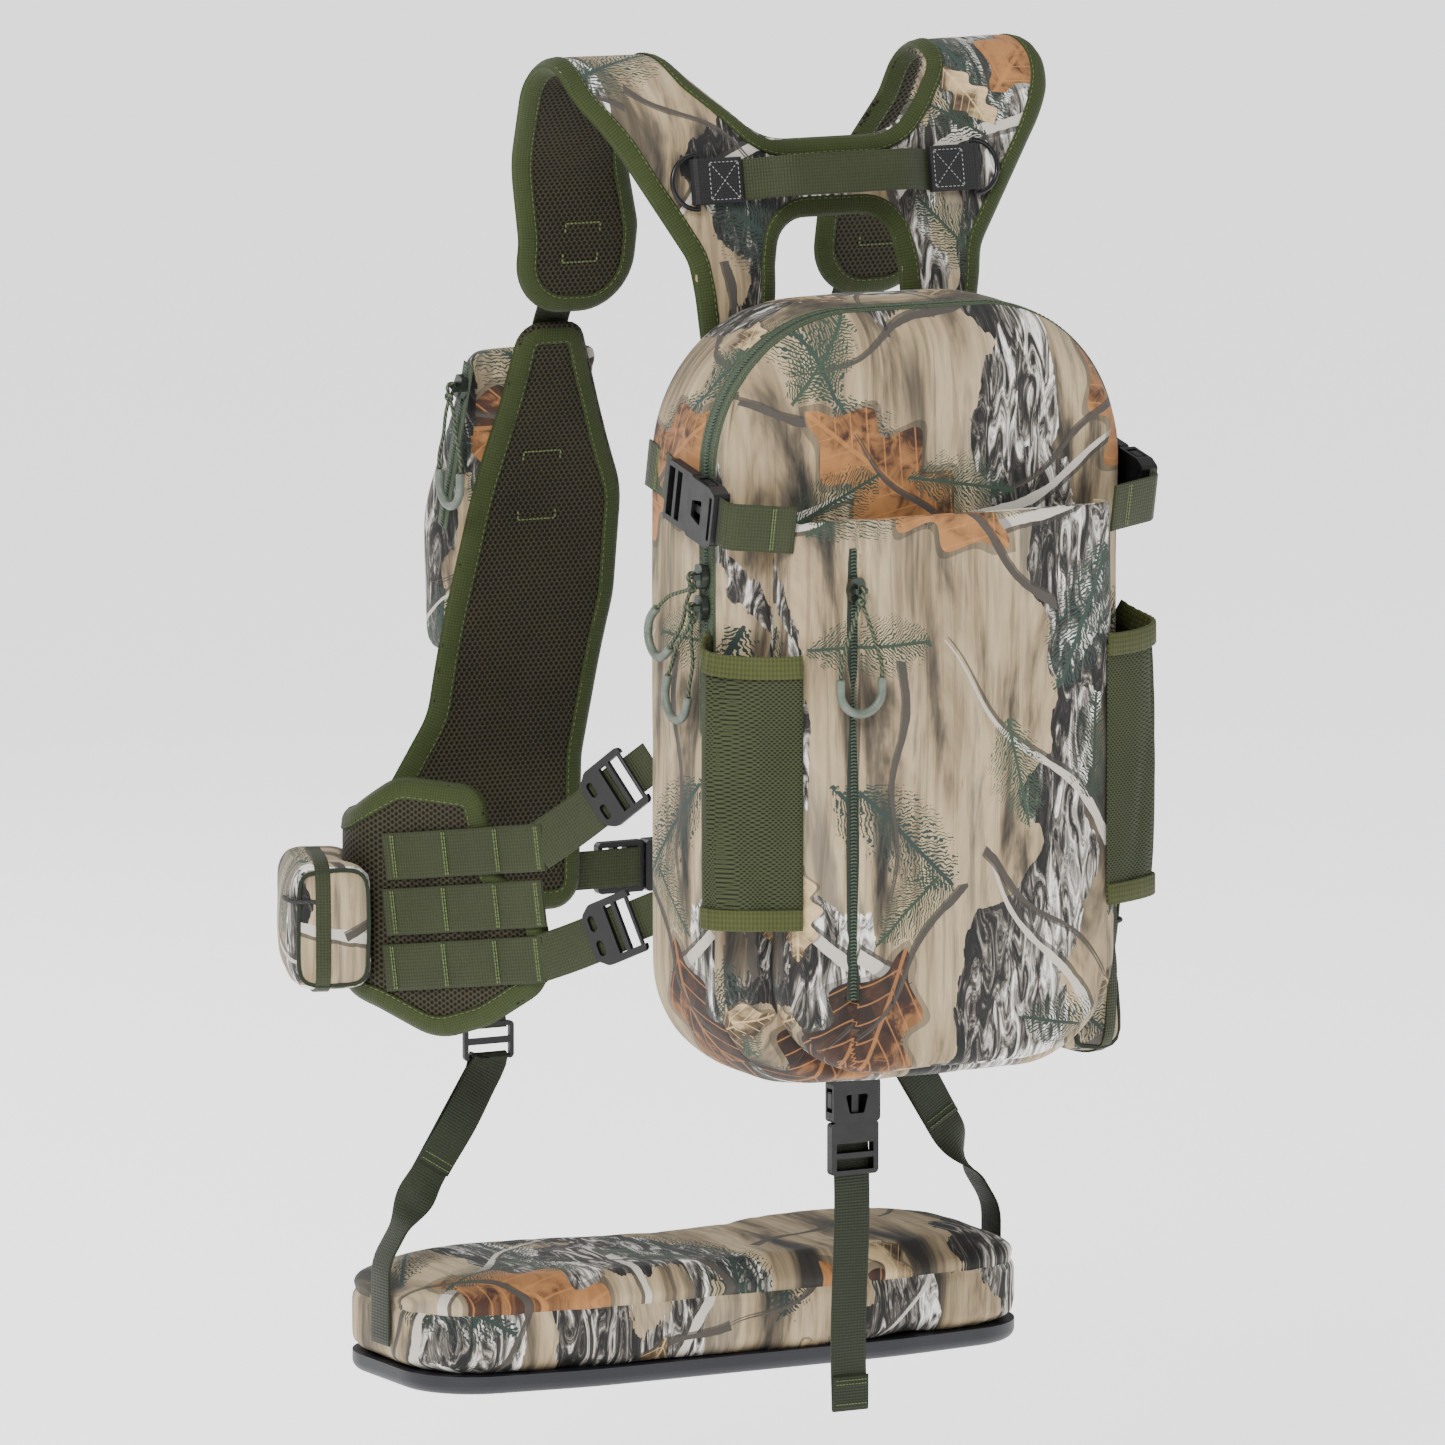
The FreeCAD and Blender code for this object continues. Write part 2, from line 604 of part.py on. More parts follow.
def lock_frame(height):
    """Centre and directions of a ladder lock; X points from the wing to the bag."""
    centre = Vector(*LOCK_CENTRE, height)
    row = 0 if height == LOCK_UPPER_Z else 2
    face, run, out = row_frame(row)
    along = (centre - face).normalize()
    outward = Vector(-along.y, along.x, 0).normalize()
    return centre, along, outward, face


def molle_webbing():
    """Three rows of webbing on the wing, the outer two running on to the ladder locks,
    and the two tabs on the bag that hold the locks."""
    half = BELT_WEBBING / 2
    pieces = []
    for row in range(3):
        face, run, out = row_frame(row)
        strip = box((0, ROW_LENGTH), (-half, half), (0, WEBBING_THICKNESS))
        pieces.append(placed(strip, face, run, out))
    for height in (LOCK_UPPER_Z, LOCK_LOWER_Z):
        centre, along, outward, face = lock_frame(height)
        length = (centre - face).Length
        strip = box((-length - 4, LOCK_LENGTH / 2 - 12), (-half, half),
                    (-WEBBING_THICKNESS - RUNNING_GAP, -RUNNING_GAP))
        strap = placed(strip, centre, along, outward)
        pieces.append(strap.cut(hip_wing()))
    webbing = fused(pieces)
    bar_x = LOCK_LENGTH / 2 - LOCK_BAR
    outer = LOCK_BAR / 2 + RUNNING_GAP + WEBBING_THICKNESS
    tabs = []
    for height in (LOCK_UPPER_Z, LOCK_LOWER_Z):
        centre, along, outward, face = lock_frame(height)
        level = LOCK_THICKNESS / 2
        roll = rod(Vector(bar_x, -half + 2, level), Vector(bar_x, half - 2, level), outer)
        tail = box((bar_x, bar_x + 34), (-half + 2, half - 2),
                   (level - outer, level - outer + WEBBING_THICKNESS))
        bore = rod(Vector(bar_x, -half, level), Vector(bar_x, half, level), outer - WEBBING_THICKNESS)
        tab = placed(fused([roll, tail]).cut(bore), centre, along, outward)
        tabs.append(max(tab.cut(bag_prism(0, TAPE_FRONT, 0)).cut(back_pad()).Solids,
                        key=lambda solid: solid.Volume))
    return [webbing] + tabs


def ladder_lock():
    """Ladder lock: a frame with three bars and a rounded thumb tab at the strap's end."""
    half = BELT_WEBBING / 2 + 5
    end = LOCK_LENGTH / 2
    corners = [(-end, -half + 6, 8), (-end + 8, -half, 6), (end, -half, 3), (end, half, 3),
               (-end + 8, half, 6), (-end, half - 6, 8)]
    plate = prism(corners, "xy", 0, LOCK_THICKNESS)
    slot_half = BELT_WEBBING / 2 + 0.5
    bar_x = end - LOCK_BAR
    slots = []
    for low, high in ((bar_x - 8.5, bar_x - LOCK_BAR / 2), (bar_x - 17, bar_x - 11.5)):
        slots.append(box((low, high), (-slot_half, slot_half), (-1, LOCK_THICKNESS + 1)))
    slots.append(box((bar_x + LOCK_BAR / 2, end + 1), (-slot_half, slot_half), (-1, LOCK_THICKNESS + 1)))
    eyes = []
    for y in (-8, 8):
        eye = prism([(-end + 4, y - 5, 2.4), (-end + 9, y - 5, 2.4), (-end + 9, y + 5, 2.4),
                     (-end + 4, y + 5, 2.4)], "xy", -1, LOCK_THICKNESS + 1)
        eyes.append(eye)
    square = box((bar_x - LOCK_BAR / 2, bar_x + LOCK_BAR / 2), (-slot_half, slot_half),
                 (-1, LOCK_THICKNESS + 1))
    body = plate.cut(square)
    for cutter in slots + eyes:
        body = body.cut(cutter)
    level = LOCK_THICKNESS / 2
    bar = rod(Vector(bar_x, -slot_half - 1, level), Vector(bar_x, slot_half + 1, level), LOCK_BAR / 2)
    return fused([body, bar])


def hip_pouch(top, height):
    """Soft pouch outside the wing's bend, its long side against the hip."""
    start, along, out = wing_frame()
    corner = Vector(WING_CORNER[0], WING_CORNER[1], 0)
    turn = (Vector(WING_TURN_X, VEST_OUTER_Y, 0) - corner).normalize()
    long_way = (along * POUCH_LEAN + turn).normalize()
    outward = Vector(long_way.y, -long_way.x, 0)
    half = POUCH_LENGTH / 2
    block = box((-half + POUCH_OFFSET, half + POUCH_OFFSET), (-height, 0),
                (-POUCH_RADIUS, POUCH_THICKNESS - POUCH_SINK))
    block = block.makeFillet(POUCH_RADIUS, block.Edges)
    pouch = placed(block, corner + Vector(0, 0, top), long_way, outward)
    solid_wing = prism([*wing_path()[:-1], (60, VEST_OUTER_Y, 0), (60, WING_START[1], 0)],
                       "xy", WING_LOW - 80, WING_TOP + 40)
    sheet = band(wing_path(), "xy", WING_THICKNESS, WING_LOW - 80, WING_TOP + 40)
    rest = pouch.cut(sheet).cut(solid_wing)
    return max(rest.Solids, key=lambda solid: solid.Volume), (corner, long_way, outward)


def bungee(top, height):
    """Shock cord looped round the pouch's rear end, in straight runs and tangent arcs."""
    corner, long_way, outward = hip_pouch(top, height)[1]
    off = BUNGEE / 2 + SEAT_GAP
    rear = -POUCH_LENGTH / 2 + POUCH_OFFSET - off
    face = POUCH_THICKNESS - POUCH_SINK + off
    level = -height * BUNGEE_LEVEL
    cut = (POUCH_RADIUS + off) * (2 - math.sqrt(2))
    end = cut * math.sqrt(2)
    route = [(rear + cut + end, face), (rear + cut, face), (rear, face - cut),
             (rear, face - cut - end)]
    corners = [(a, b, 0) for a, b in route]
    runs = [math.dist(route[i], route[i + 1]) for i in range(len(route) - 1)]
    for index in range(1, len(route) - 1):
        before, here, after = (Vector(*route[index + k], 0) for k in (-1, 0, 1))
        half_turn = (here - before).getAngle(after - here) / 2
        radius = 0.45 * min(runs[index - 1], runs[index]) / math.tan(half_turn)
        corners[index] = (*route[index], radius)
    spine = rounded_wire(corners, "xz", level, closed=False)
    first = spine.Edges[0]
    start = first.valueAt(first.FirstParameter)
    ring = Part.Wire(Part.makeCircle(BUNGEE / 2, start, first.tangentAt(first.FirstParameter)))
    tube = spine.makePipeShell([ring], True, False)
    return placed(tube, corner + Vector(0, 0, top), long_way, outward)


# ---------------------------------------------------------------- side-release buckles
def buckle(webbing):
    """Socket, plug and two latch arms in a local frame: X from plug to socket, Z outward."""
    slot = webbing / 2 + 0.5
    half = webbing / 2 + 4
    deep = BUCKLE_THICKNESS / 2
    cavity = deep - BUCKLE_WALL
    inner = half - 4
    mouth = RUNNING_GAP / 2
    body = prism([(mouth, -half, 3), (SOCKET_LENGTH - 8, -half, 4), (SOCKET_LENGTH, -half + 3, 3),
                  (SOCKET_LENGTH, half - 3, 3), (SOCKET_LENGTH - 8, half, 4), (mouth, half, 3)],
                 "xy", -deep, deep)
    body = body.cut(box((mouth - 1, ARM_LENGTH + 1), (-inner, inner), (-cavity, cavity)))
    body = body.cut(box((ARM_LENGTH + 3.5, ARM_LENGTH + 6.5), (-slot + 2, slot - 2), (-deep - 1, deep + 1)))
    window_z = (BUCKLE_THICKNESS - 2 * BUCKLE_WALL) / 2
    body = body.cut(box((7, ARM_LENGTH - 2), (-half - 1, half + 1), (-window_z, window_z)))
    view = prism([(6, -5, 1.5), (18, -8, 1.5), (18, 8, 1.5), (6, 5, 1.5)], "xy", cavity - 1, deep + 1)
    body = body.cut(view)

    rail = 2.4
    plate = prism([(-PLUG_LENGTH, -half, 3), (0, -half, 2), (0, half, 2), (-PLUG_LENGTH, half, 3)],
                  "xy", -PLUG_HALF, PLUG_HALF)
    for low, high in ((-PLUG_LENGTH + 3, -PLUG_LENGTH + 10.5), (-PLUG_LENGTH + 14, -PLUG_LENGTH + 20)):
        plate = plate.cut(box((low, high), (-slot, slot), (-9, 9)))
    tongue = box((-1, ARM_LENGTH - 4), (-rail, rail), (-cavity + 0.8, cavity - 0.8))
    plug = fused([plate, tongue])

    depth = cavity - 0.9
    root = ARM_WIDTH / 2
    centre = RUNNING_GAP + root
    lane = inner - root - RUNNING_GAP - 1.0
    arm = prism([(centre, lane - root, 0), (ARM_LENGTH - 3, lane - root, 2), (ARM_LENGTH - 3, lane + root, 1),
                 (ARM_LENGTH - 4, half, 1.5), (9, half, 2), (8, lane + root, 1), (centre, lane + root, 0)],
                "xy", -depth, depth)
    knuckle = rod(Vector(centre, lane, -depth), Vector(centre, lane, depth), root)
    upper = fused([arm, knuckle])
    lower = upper.mirror(Vector(0, 0, 0), Vector(0, 1, 0))
    return body, plug, upper, lower


def compression_frame():
    """Buckle centre and directions on the bag's right side; X runs to the stash pocket."""
    slope = (COMPRESSION_BUCKLE[1] - COMPRESSION_REAR[1]) / (COMPRESSION_BUCKLE[0] - COMPRESSION_REAR[0])
    along = Vector(0, -1, -slope).normalize()
    standoff = BUCKLE_THICKNESS / 2 + COMPRESSION_STANDOFF
    centre = Vector(BAG_HALF + standoff, COMPRESSION_BUCKLE[0], COMPRESSION_BUCKLE[1])
    return centre, along, Vector(1, 0, 0)


def compression_webbing():
    """Rear strap from the bag's back seam into the plug, and the anchor from the socket
    to the stash pocket's top corner."""
    centre, along, outward = compression_frame()
    half = BELT_WEBBING / 2
    inner = -(BUCKLE_THICKNESS / 2 + COMPRESSION_STANDOFF)
    rear_x = (centre.y - PAD_BACK) / -along.y
    plug_level = -PLUG_HALF - RUNNING_GAP - WEBBING_THICKNESS
    rear = band([(rear_x, inner, 0), (rear_x + 24, inner, 20), (-PLUG_LENGTH - 12, plug_level, 20),
                 (-4, plug_level, 0)], "xz", -WEBBING_THICKNESS, -half, half)
    anchor_x = SOCKET_LENGTH
    reach_y = STASH_FACE + STASH_EDGE_RADIUS * 0.35
    corner = Vector(BAG_HALF - PANEL_SIDE_INSET, reach_y, 0) - Vector(centre.x, centre.y, 0)
    far_x = corner.y / along.y
    far_z = corner.x
    anchor = band([(anchor_x, 0, 0), (anchor_x + 10, -1, 6), (far_x, far_z, 16), (far_x + 2, far_z - 30, 0)],
                  "xz", WEBBING_THICKNESS, -half, half)
    return (placed(rear, centre, along, outward), placed(anchor, centre, along, outward))


def hardware_at(shapes, centre, along, outward, side):
    """Place local shapes and mirror them for the left side."""
    return [sided(placed(shape, centre, along, outward), side) for shape in shapes]


# ---------------------------------------------------------------- sliders and pulls
def slider():
    """Zipper slider: a waisted body over the coil with a crown bar for the pull."""
    half = SLIDER_WIDTH / 2
    end = SLIDER_LENGTH / 2
    low = TAPE_THICKNESS + RUNNING_GAP
    body = prism([(-end, -half + 2, 2), (0, -half, 6), (end, -half + 2, 2), (end, half - 2, 2),
                  (0, half, 6), (-end, half - 2, 2)], "xy", low, low + SLIDER_HEIGHT)
    channel = box((-end - 1, end + 1), (-COIL_WIDTH / 2 - RUNNING_GAP, COIL_WIDTH / 2 + RUNNING_GAP),
                  (low - 1, TAPE_THICKNESS + COIL_HEIGHT + RUNNING_GAP))
    top = low + SLIDER_HEIGHT
    posts = [box((-1.6, 1.6), (y - 0.8, y + 0.8), (top - 0.5, top + CROWN_HEIGHT + CROWN_BAR / 2))
             for y in (-3.4, 3.4)]
    bar = rod(Vector(0, -4, top + CROWN_HEIGHT), Vector(0, 4, top + CROWN_HEIGHT), CROWN_BAR / 2)
    return fused([body.cut(channel), bar] + posts)


def crown_level():
    """Height of the crown bar above the cloth that the tape is sewn to."""
    return TAPE_THICKNESS + RUNNING_GAP + SLIDER_HEIGHT + CROWN_HEIGHT


def pull(splay):
    """Cord pull hanging from a crown bar: loop, knot, two legs and a bent tube grip.
    Local frame: X outward, the pull hangs towards -Z, its legs splayed sideways at the knot."""
    cord = PULL_CORD / 2
    grip = GRIP_DIAMETER / 2
    bend = GRIP_WIDTH / 2 - grip
    hole = CROWN_BAR / 2 + RUNNING_GAP
    loop = hole + cord
    knot = Vector(0, 0, -loop - cord - KNOT_RADIUS + 0.8)
    bend_z = -PULL_LENGTH + bend + grip
    parts = [Part.makeSphere(KNOT_RADIUS, knot)]
    for sign in (-1, 1):
        tip = Vector(0, sign * bend, bend_z + 6)
        parts.append(rod(knot, tip, cord))
        parts.append(rod(Vector(0, sign * bend, bend_z), tip + Vector(0, 0, 1), grip))
    arc = Part.makeTorus(bend, grip, Vector(0, 0, 0), Vector(0, 0, 1), -180, 180, 180)
    parts.append(placed(arc, Vector(0, 0, bend_z), Vector(0, -1, 0), Vector(1, 0, 0)))
    hanging = fused(parts)
    hanging.rotate(knot, Vector(1, 0, 0), splay)
    return fused([hanging, Part.makeTorus(loop, cord, Vector(0, 0, 0), Vector(0, 1, 0))])


def fastened(sheet_point, down, outward, splay):
    """Slider and pull on a zipper: a point on the cloth, the way it runs and faces."""
    runner = placed(slider(), sheet_point, down, outward)
    crown = sheet_point + outward * crown_level()
    hanging = placed(pull(splay), crown, outward, down * -1)
    return runner, hanging


# ---------------------------------------------------------------- seat
def seat_outline(inset):
    """Bean-shaped plan of the seat with a notch in the middle of its front edge."""
    half = SEAT_WIDTH / 2 - inset
    rear = SEAT_CENTRE_Y - SEAT_DEPTH / 2 + inset
    front = SEAT_CENTRE_Y + SEAT_DEPTH / 2 - inset
    notch = front - SEAT_NOTCH
    return [(-half, rear + 14, 50), (-half / 2, rear, 300), (half / 2, rear, 300), (half, rear + 14, 50),
            (half, front - 12, 46), (half / 2, front, 70), (half / 8, notch, 40), (-half / 8, notch, 40),
            (-half / 2, front, 70), (-half, front - 12, 46)]


def seat():
    """Foam cushion with a rounded top edge, and the rubberised base under it."""
    split = SEAT_BOTTOM + SEAT_BASE
    top_radius = min(SEAT_TOP_RADIUS, (SEAT_TOP - split) / 2)
    base_radius = min(SEAT_BASE_RADIUS, SEAT_BASE / 2)
    cushion = prism(seat_outline(0), "xy", split, SEAT_TOP)
    cushion = fillet_where(cushion, top_radius, lambda e: all(v.Point.z > SEAT_TOP - 1e-6 for v in e.Vertexes))
    base = prism(seat_outline(SEAT_BASE_INSET), "xy", SEAT_BOTTOM, split)
    base = fillet_where(base, base_radius, lambda e: all(v.Point.z < SEAT_BOTTOM + 1e-6 for v in e.Vertexes))
    return cushion, base


def seat_anchor():
    """Right webbing that drops from the vest panel's foot and carries the adjuster."""
    half = SEAT_WEBBING / 2
    top_bar_z = SEAT_HANG_Z + ADJUSTER_LENGTH / 2
    path = [(VEST_FRONT_Y, VEST_BOTTOM_Z + 40, 0), (VEST_FRONT_Y, VEST_BOTTOM_Z - 4, 30),
            (SEAT_STRAP_Y, top_bar_z, 12), (SEAT_STRAP_Y, top_bar_z - 4, 0)]
    return band(path, "yz", WEBBING_THICKNESS, SEAT_HANG_X - half, SEAT_HANG_X + half)


def adjuster(webbing):
    """Flat adjuster with two slots, lying in its local XY plane; its last bar is round."""
    half = webbing / 2 + 5
    slot = webbing / 2 + 2
    end = ADJUSTER_LENGTH / 2
    plate = prism([(-end, -half, 3), (end, -half, 3), (end, half, 3), (-end, half, 3)],
                  "xy", -ADJUSTER_THICKNESS / 2, ADJUSTER_THICKNESS / 2)
    for low, high in ((-end + 3, -2), (2, end + 1)):
        plate = plate.cut(box((low, high), (-slot, slot), (-9, 9)))
    bar_x = end - ADJUSTER_THICKNESS / 2
    bar = rod(Vector(bar_x, -slot - 1, 0), Vector(bar_x, slot + 1, 0), ADJUSTER_THICKNESS / 2)
    return fused([plate, bar])


def twisted_strap(start, end, width_start, width_end, steps):
    """Flat strap between two points whose width turns a quarter about its run."""
    run = (end - start).normalize()
    sections = []
    for step in range(steps + 1):
        share = step / steps
        angle = share * math.pi / 2
        wide = width_start * math.cos(angle) + width_end * math.sin(angle)
        thin = run.cross(wide)
        centre = start + (end - start) * share
        across = wide * (SEAT_WEBBING / 2)
        through = thin * (WEBBING_THICKNESS / 2)
        corners = [centre + across + through, centre - across + through,
                   centre - across - through, centre + across - through]
        sections.append(Part.makePolygon(corners + corners[:1]))
    return Part.makeLoft(sections, True, True)


def seat_strap():
    """Right hanging strap: a loop round the adjuster's bar, a flat stretch with the tail
    beside it, a quarter twist, and a stretch down the seat's end face."""
    half = SEAT_WEBBING / 2
    y = SEAT_STRAP_Y
    bar_radius = ADJUSTER_THICKNESS / 2
    bore = bar_radius + RUNNING_GAP
    outer = bore + WEBBING_THICKNESS
    pivot = Vector(SEAT_HANG_X, y, SEAT_HANG_Z - ADJUSTER_LENGTH / 2 + bar_radius)
    outside = SEAT_WIDTH / 2 + SEAT_GAP + WEBBING_THICKNESS / 2
    bend = Vector(outside, y, SEAT_TOP + SEAT_STRAP_BEND_RISE)
    foot = Vector(outside, y, SEAT_STRAP_END_Z)
    bend_radius = min(SEAT_STRAP_BEND, bend.z - foot.z)
    roll = rod(pivot - Vector(half, 0, 0), pivot + Vector(half, 0, 0), outer)
    hole = rod(pivot - Vector(FAR, 0, 0), pivot + Vector(FAR, 0, 0), bore)
    start = pivot + Vector(0, 0, -outer + 1)
    run = (bend - start).normalize()
    flat_end = start + run * SEAT_TAIL
    flat = Part.makeBox(SEAT_TAIL, SEAT_WEBBING, WEBBING_THICKNESS,
                        Vector(0, -half, -WEBBING_THICKNESS / 2))
    flat = placed(flat, start, run, Vector(0, 1, 0))
    tail = Part.makeBox(SEAT_TAIL - 4, SEAT_WEBBING, WEBBING_THICKNESS,
                        Vector(0, -half, -WEBBING_THICKNESS * 1.5))
    tail = placed(tail, start, run, Vector(0, 1, 0))
    twist_end = flat_end + run * SEAT_TWIST
    across = run.cross(Vector(0, 1, 0))
    twist = twisted_strap(flat_end, twist_end, across, Vector(0, 1, 0), 4)
    path = [(twist_end.x, twist_end.z, 0), (bend.x, bend.z, bend_radius), (foot.x, foot.z, 0)]
    lower = band(path, "xz", WEBBING_THICKNESS / 2, y - half, y + half)
    lower = lower.fuse(band(path, "xz", -WEBBING_THICKNESS / 2, y - half, y + half))
    above = box((-FAR, FAR), (-FAR, FAR), (pivot.z - 1, FAR))
    leaving = [piece.cut(hole).cut(above) for piece in (flat, tail)]
    return fused([roll.cut(hole), twist, lower] + leaving)


# ---------------------------------------------------------------- straps in front and below
def shoulder_strap():
    """Webbing from the yoke's front end to the top of the right vest panel."""
    half = SEAT_WEBBING / 2
    yoke_out = YOKE_END_Y + YOKE_THICKNESS
    vest_out = VEST_TOP_Y + VEST_THICKNESS
    path = [(yoke_out - 4, YOKE_END_Z + 34, 0), (yoke_out + 1, YOKE_END_Z + 4, 20),
            (vest_out + 2, VEST_TOP_Z, 20), (vest_out + 12, VEST_TOP_Z - 26, 0)]
    return band(path, "yz", -WEBBING_THICKNESS, YOKE_END_CENTRE - half, YOKE_END_CENTRE + half)


def waist_strap():
    """Right belt webbing across the front, from the wing to the end of the buckle's socket."""
    half = WAIST_WEBBING / 2
    face = VEST_OUTER_Y + WING_THICKNESS
    return box((WAIST_BUCKLE_X + SOCKET_LENGTH, WING_END_X + 30), (face, face + WEBBING_THICKNESS),
               (WAIST_Z - half, WAIST_Z + half))


def waist_strap_left():
    """Left belt webbing, running under the plug of the buckle."""
    half = WAIST_WEBBING / 2
    face = VEST_OUTER_Y + WING_THICKNESS
    return box((-WING_END_X - 30, WAIST_BUCKLE_X - 4), (face, face + WEBBING_THICKNESS),
               (WAIST_Z - half, WAIST_Z + half))


def waist_frame():
    """Centre and directions of the waist buckle."""
    level = VEST_OUTER_Y + WING_THICKNESS + WEBBING_THICKNESS + PLUG_HALF + RUNNING_GAP
    return Vector(WAIST_BUCKLE_X, level, WAIST_Z), Vector(1, 0, 0), Vector(0, 1, 0)


def keeper_frame():
    """Centre and directions of the buckle that hangs below the bag."""
    centre_z = BAG_BOTTOM - KEEPER_GAP - SOCKET_LENGTH
    return Vector(0, KEEPER_Y, centre_z), Vector(0, 0, 1), Vector(0, -1, 0)


def keeper_webbing():
    """Short strap from the bag's bottom to the socket, and the tail with its folded end."""
    half = KEEPER_WEBBING / 2
    top = BAG_BOTTOM - SEAT_GAP - WEBBING_THICKNESS / 2
    centre = keeper_frame()[0]
    socket_top = centre.z + SOCKET_LENGTH
    thin = WEBBING_THICKNESS / 2
    stub = box((-half, half), (KEEPER_Y - thin, KEEPER_Y + thin), (socket_top, top))
    round_end = rod(Vector(-half, KEEPER_Y, top), Vector(half, KEEPER_Y, top), thin)
    back = KEEPER_Y + PLUG_HALF
    tail = box((-half, half), (back, back + WEBBING_THICKNESS), (KEEPER_END_Z, centre.z - 4))
    fold = box((-half, half), (back - WEBBING_THICKNESS, back), (KEEPER_END_Z, KEEPER_END_Z + 22))
    return fused([stub, round_end]), fused([tail, fold])


def save_all():
    """Write every node of the pack."""
    shell = main_shell()
    panel_form = panel_loft(0)
    panel = panel_form.cut(panel_loft(CLOTH))
    stash_form = stash_block(0)
    stash = stash_form.cut(stash_block(CLOTH))
    save("main_shell", shell)
    save("front_panel", panel)
    save("stash_pocket", stash)
    save("frame_sheet", frame_sheet())
    save("zipper_tapes", main_tape(), stash_tape(), *(sided(vest_tape(), s) for s in (-1, 1)))
    pocket = side_pocket(panel_form, stash_form)
    half_yoke = yoke()
    save("back_pad", back_pad().cut(half_yoke).cut(mirrored(half_yoke)))
    handle = haul_handle()
    panel_vest = vest_panel()
    pouch_vest = vest_pouch()
    wing = hip_wing()
    webbing = molle_webbing()
    handle = handle.cut(half_yoke).cut(mirrored(half_yoke))
    save("haul_handle", max(handle.Solids, key=lambda solid: solid.Volume))
    tab = on_yoke(handle_tab(), 0).cut(handle).cut(half_yoke)
    tab = max(tab.Solids, key=lambda solid: solid.Volume)
    save("handle_tabs", tab, mirrored(tab))
    for side, name in ((-1, "left"), (1, "right")):
        save(f"side_pocket_{name}", sided(pocket, side))
        save(f"shoulder_yoke_{name}", sided(half_yoke, side))
        save(f"d_ring_{name}", sided(on_yoke(d_ring(), 0), side))
        save(f"vest_panel_{name}", sided(panel_vest, side))
        save(f"vest_pouch_{name}", sided(pouch_vest, side))
        save(f"hip_wing_{name}", sided(wing, side))
        save(f"molle_webbing_{name}", *(sided(piece, side) for piece in webbing))
        for height, level in ((LOCK_UPPER_Z, "upper"), (LOCK_LOWER_Z, "lower")):
            centre, along, outward, _ = lock_frame(height)
            save(f"ladder_lock_{level}_{name}",
                 sided(placed(ladder_lock(), centre, along, outward), side))
    bungees = []
    for side, name, top, height in ((-1, "left", LEFT_POUCH_TOP, LEFT_POUCH_HEIGHT),
                                    (1, "right", RIGHT_POUCH_TOP, RIGHT_POUCH_HEIGHT)):
        save(f"hip_pouch_{name}", sided(hip_pouch(top, height)[0], side))
        bungees.append(sided(bungee(top, height), side))
    save("hip_bungees", *bungees)

    sockets, plugs, straps = [], [], []
    frame = compression_frame()
    for side, name in ((-1, "left"), (1, "right")):
        socket, plug, lower, upper = hardware_at(buckle(BELT_WEBBING), *frame, side)
        sockets.append(socket)
        plugs.append(plug)
        save(f"compression_latch_upper_{name}", upper)
        save(f"compression_latch_lower_{name}", lower)
        for strap in compression_webbing():
            strap = sided(strap, side)
            for solid in (shell, panel_form, stash_form, socket):
                strap = strap.cut(solid)
            straps.append(max(strap.Solids, key=lambda piece: piece.Volume))
    save("compression_webbing", *straps)
    socket, plug, lower, upper = hardware_at(buckle(WAIST_WEBBING), *waist_frame(), 1)
    save("waist_latch_upper", upper)
    save("waist_latch_lower", lower)
    save("buckle_sockets", *sockets, socket)
    save("buckle_plugs", *plugs, plug)
    save("waist_webbing", waist_strap(), waist_strap_left())
    socket, plug, left, right = hardware_at(buckle(KEEPER_WEBBING), *keeper_frame(), 1)
    save("keeper_socket", socket)
    save("keeper_plug", plug)
    save("keeper_latch_left", left)
    save("keeper_latch_right", right)
    save("keeper_webbing", *keeper_webbing())

    side_middle = (TAPE_FRONT + TAPE_BACK) / 2
    down = Vector(0, 0, -1)
    zips = (("main_upper", Vector(-BAG_HALF, side_middle, MAIN_SLIDER_UPPER_Z), down,
             Vector(-1, 0, 0), -MAIN_UPPER_SPLAY),
            ("main_lower", Vector(-BAG_HALF, side_middle, MAIN_SLIDER_LOWER_Z), down,
             Vector(-1, 0, 0), -MAIN_LOWER_SPLAY),
            ("stash", Vector(STASH_ZIP_X, STASH_FACE, STASH_SLIDER_Z), down, Vector(0, -1, 0), 0))
    for name, point, way, outward, splay in zips:
        runner, hanging = fastened(point, way, outward, splay)
        save(f"{name}_slider", runner)
        save(f"{name}_pull", hanging)
    start, way = vest_zip_line()
    lean = math.degrees(math.atan2(way.y, -way.z))
    runner, hanging = fastened(start + way * SLIDER_LENGTH, way, Vector(1, 0, 0), -lean)
    for side, name in ((-1, "left"), (1, "right")):
        save(f"vest_slider_{name}", sided(runner, side))
        save(f"vest_pull_{name}", sided(hanging, side))

    cushion, base = seat()
    save("seat_cushion", cushion)
    save("seat_base", base)
    strap = seat_strap()
    save("seat_straps", strap, mirrored(strap))
    anchor = seat_anchor().cut(panel_vest)
    plate = placed(adjuster(SEAT_WEBBING), Vector(SEAT_HANG_X, SEAT_STRAP_Y, SEAT_HANG_Z),
                   down, Vector(0, -1, 0))
    anchor = anchor.cut(plate)
    shoulder = shoulder_strap().cut(half_yoke).cut(panel_vest).cut(pouch_vest)
    straps = [shoulder, anchor]
    save("hanger_webbing", *(sided(piece, side) for piece in straps for side in (-1, 1)))
    save("seat_adjusters", plate, mirrored(plate))


os.makedirs("parts", exist_ok=True)
if __name__ == "__main__":
    save_all()
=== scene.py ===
import math
import bmesh
import bpy
from mathutils import Matrix, Vector, noise
from mathutils.bvhtree import BVHTree
from mathutils.kdtree import KDTree


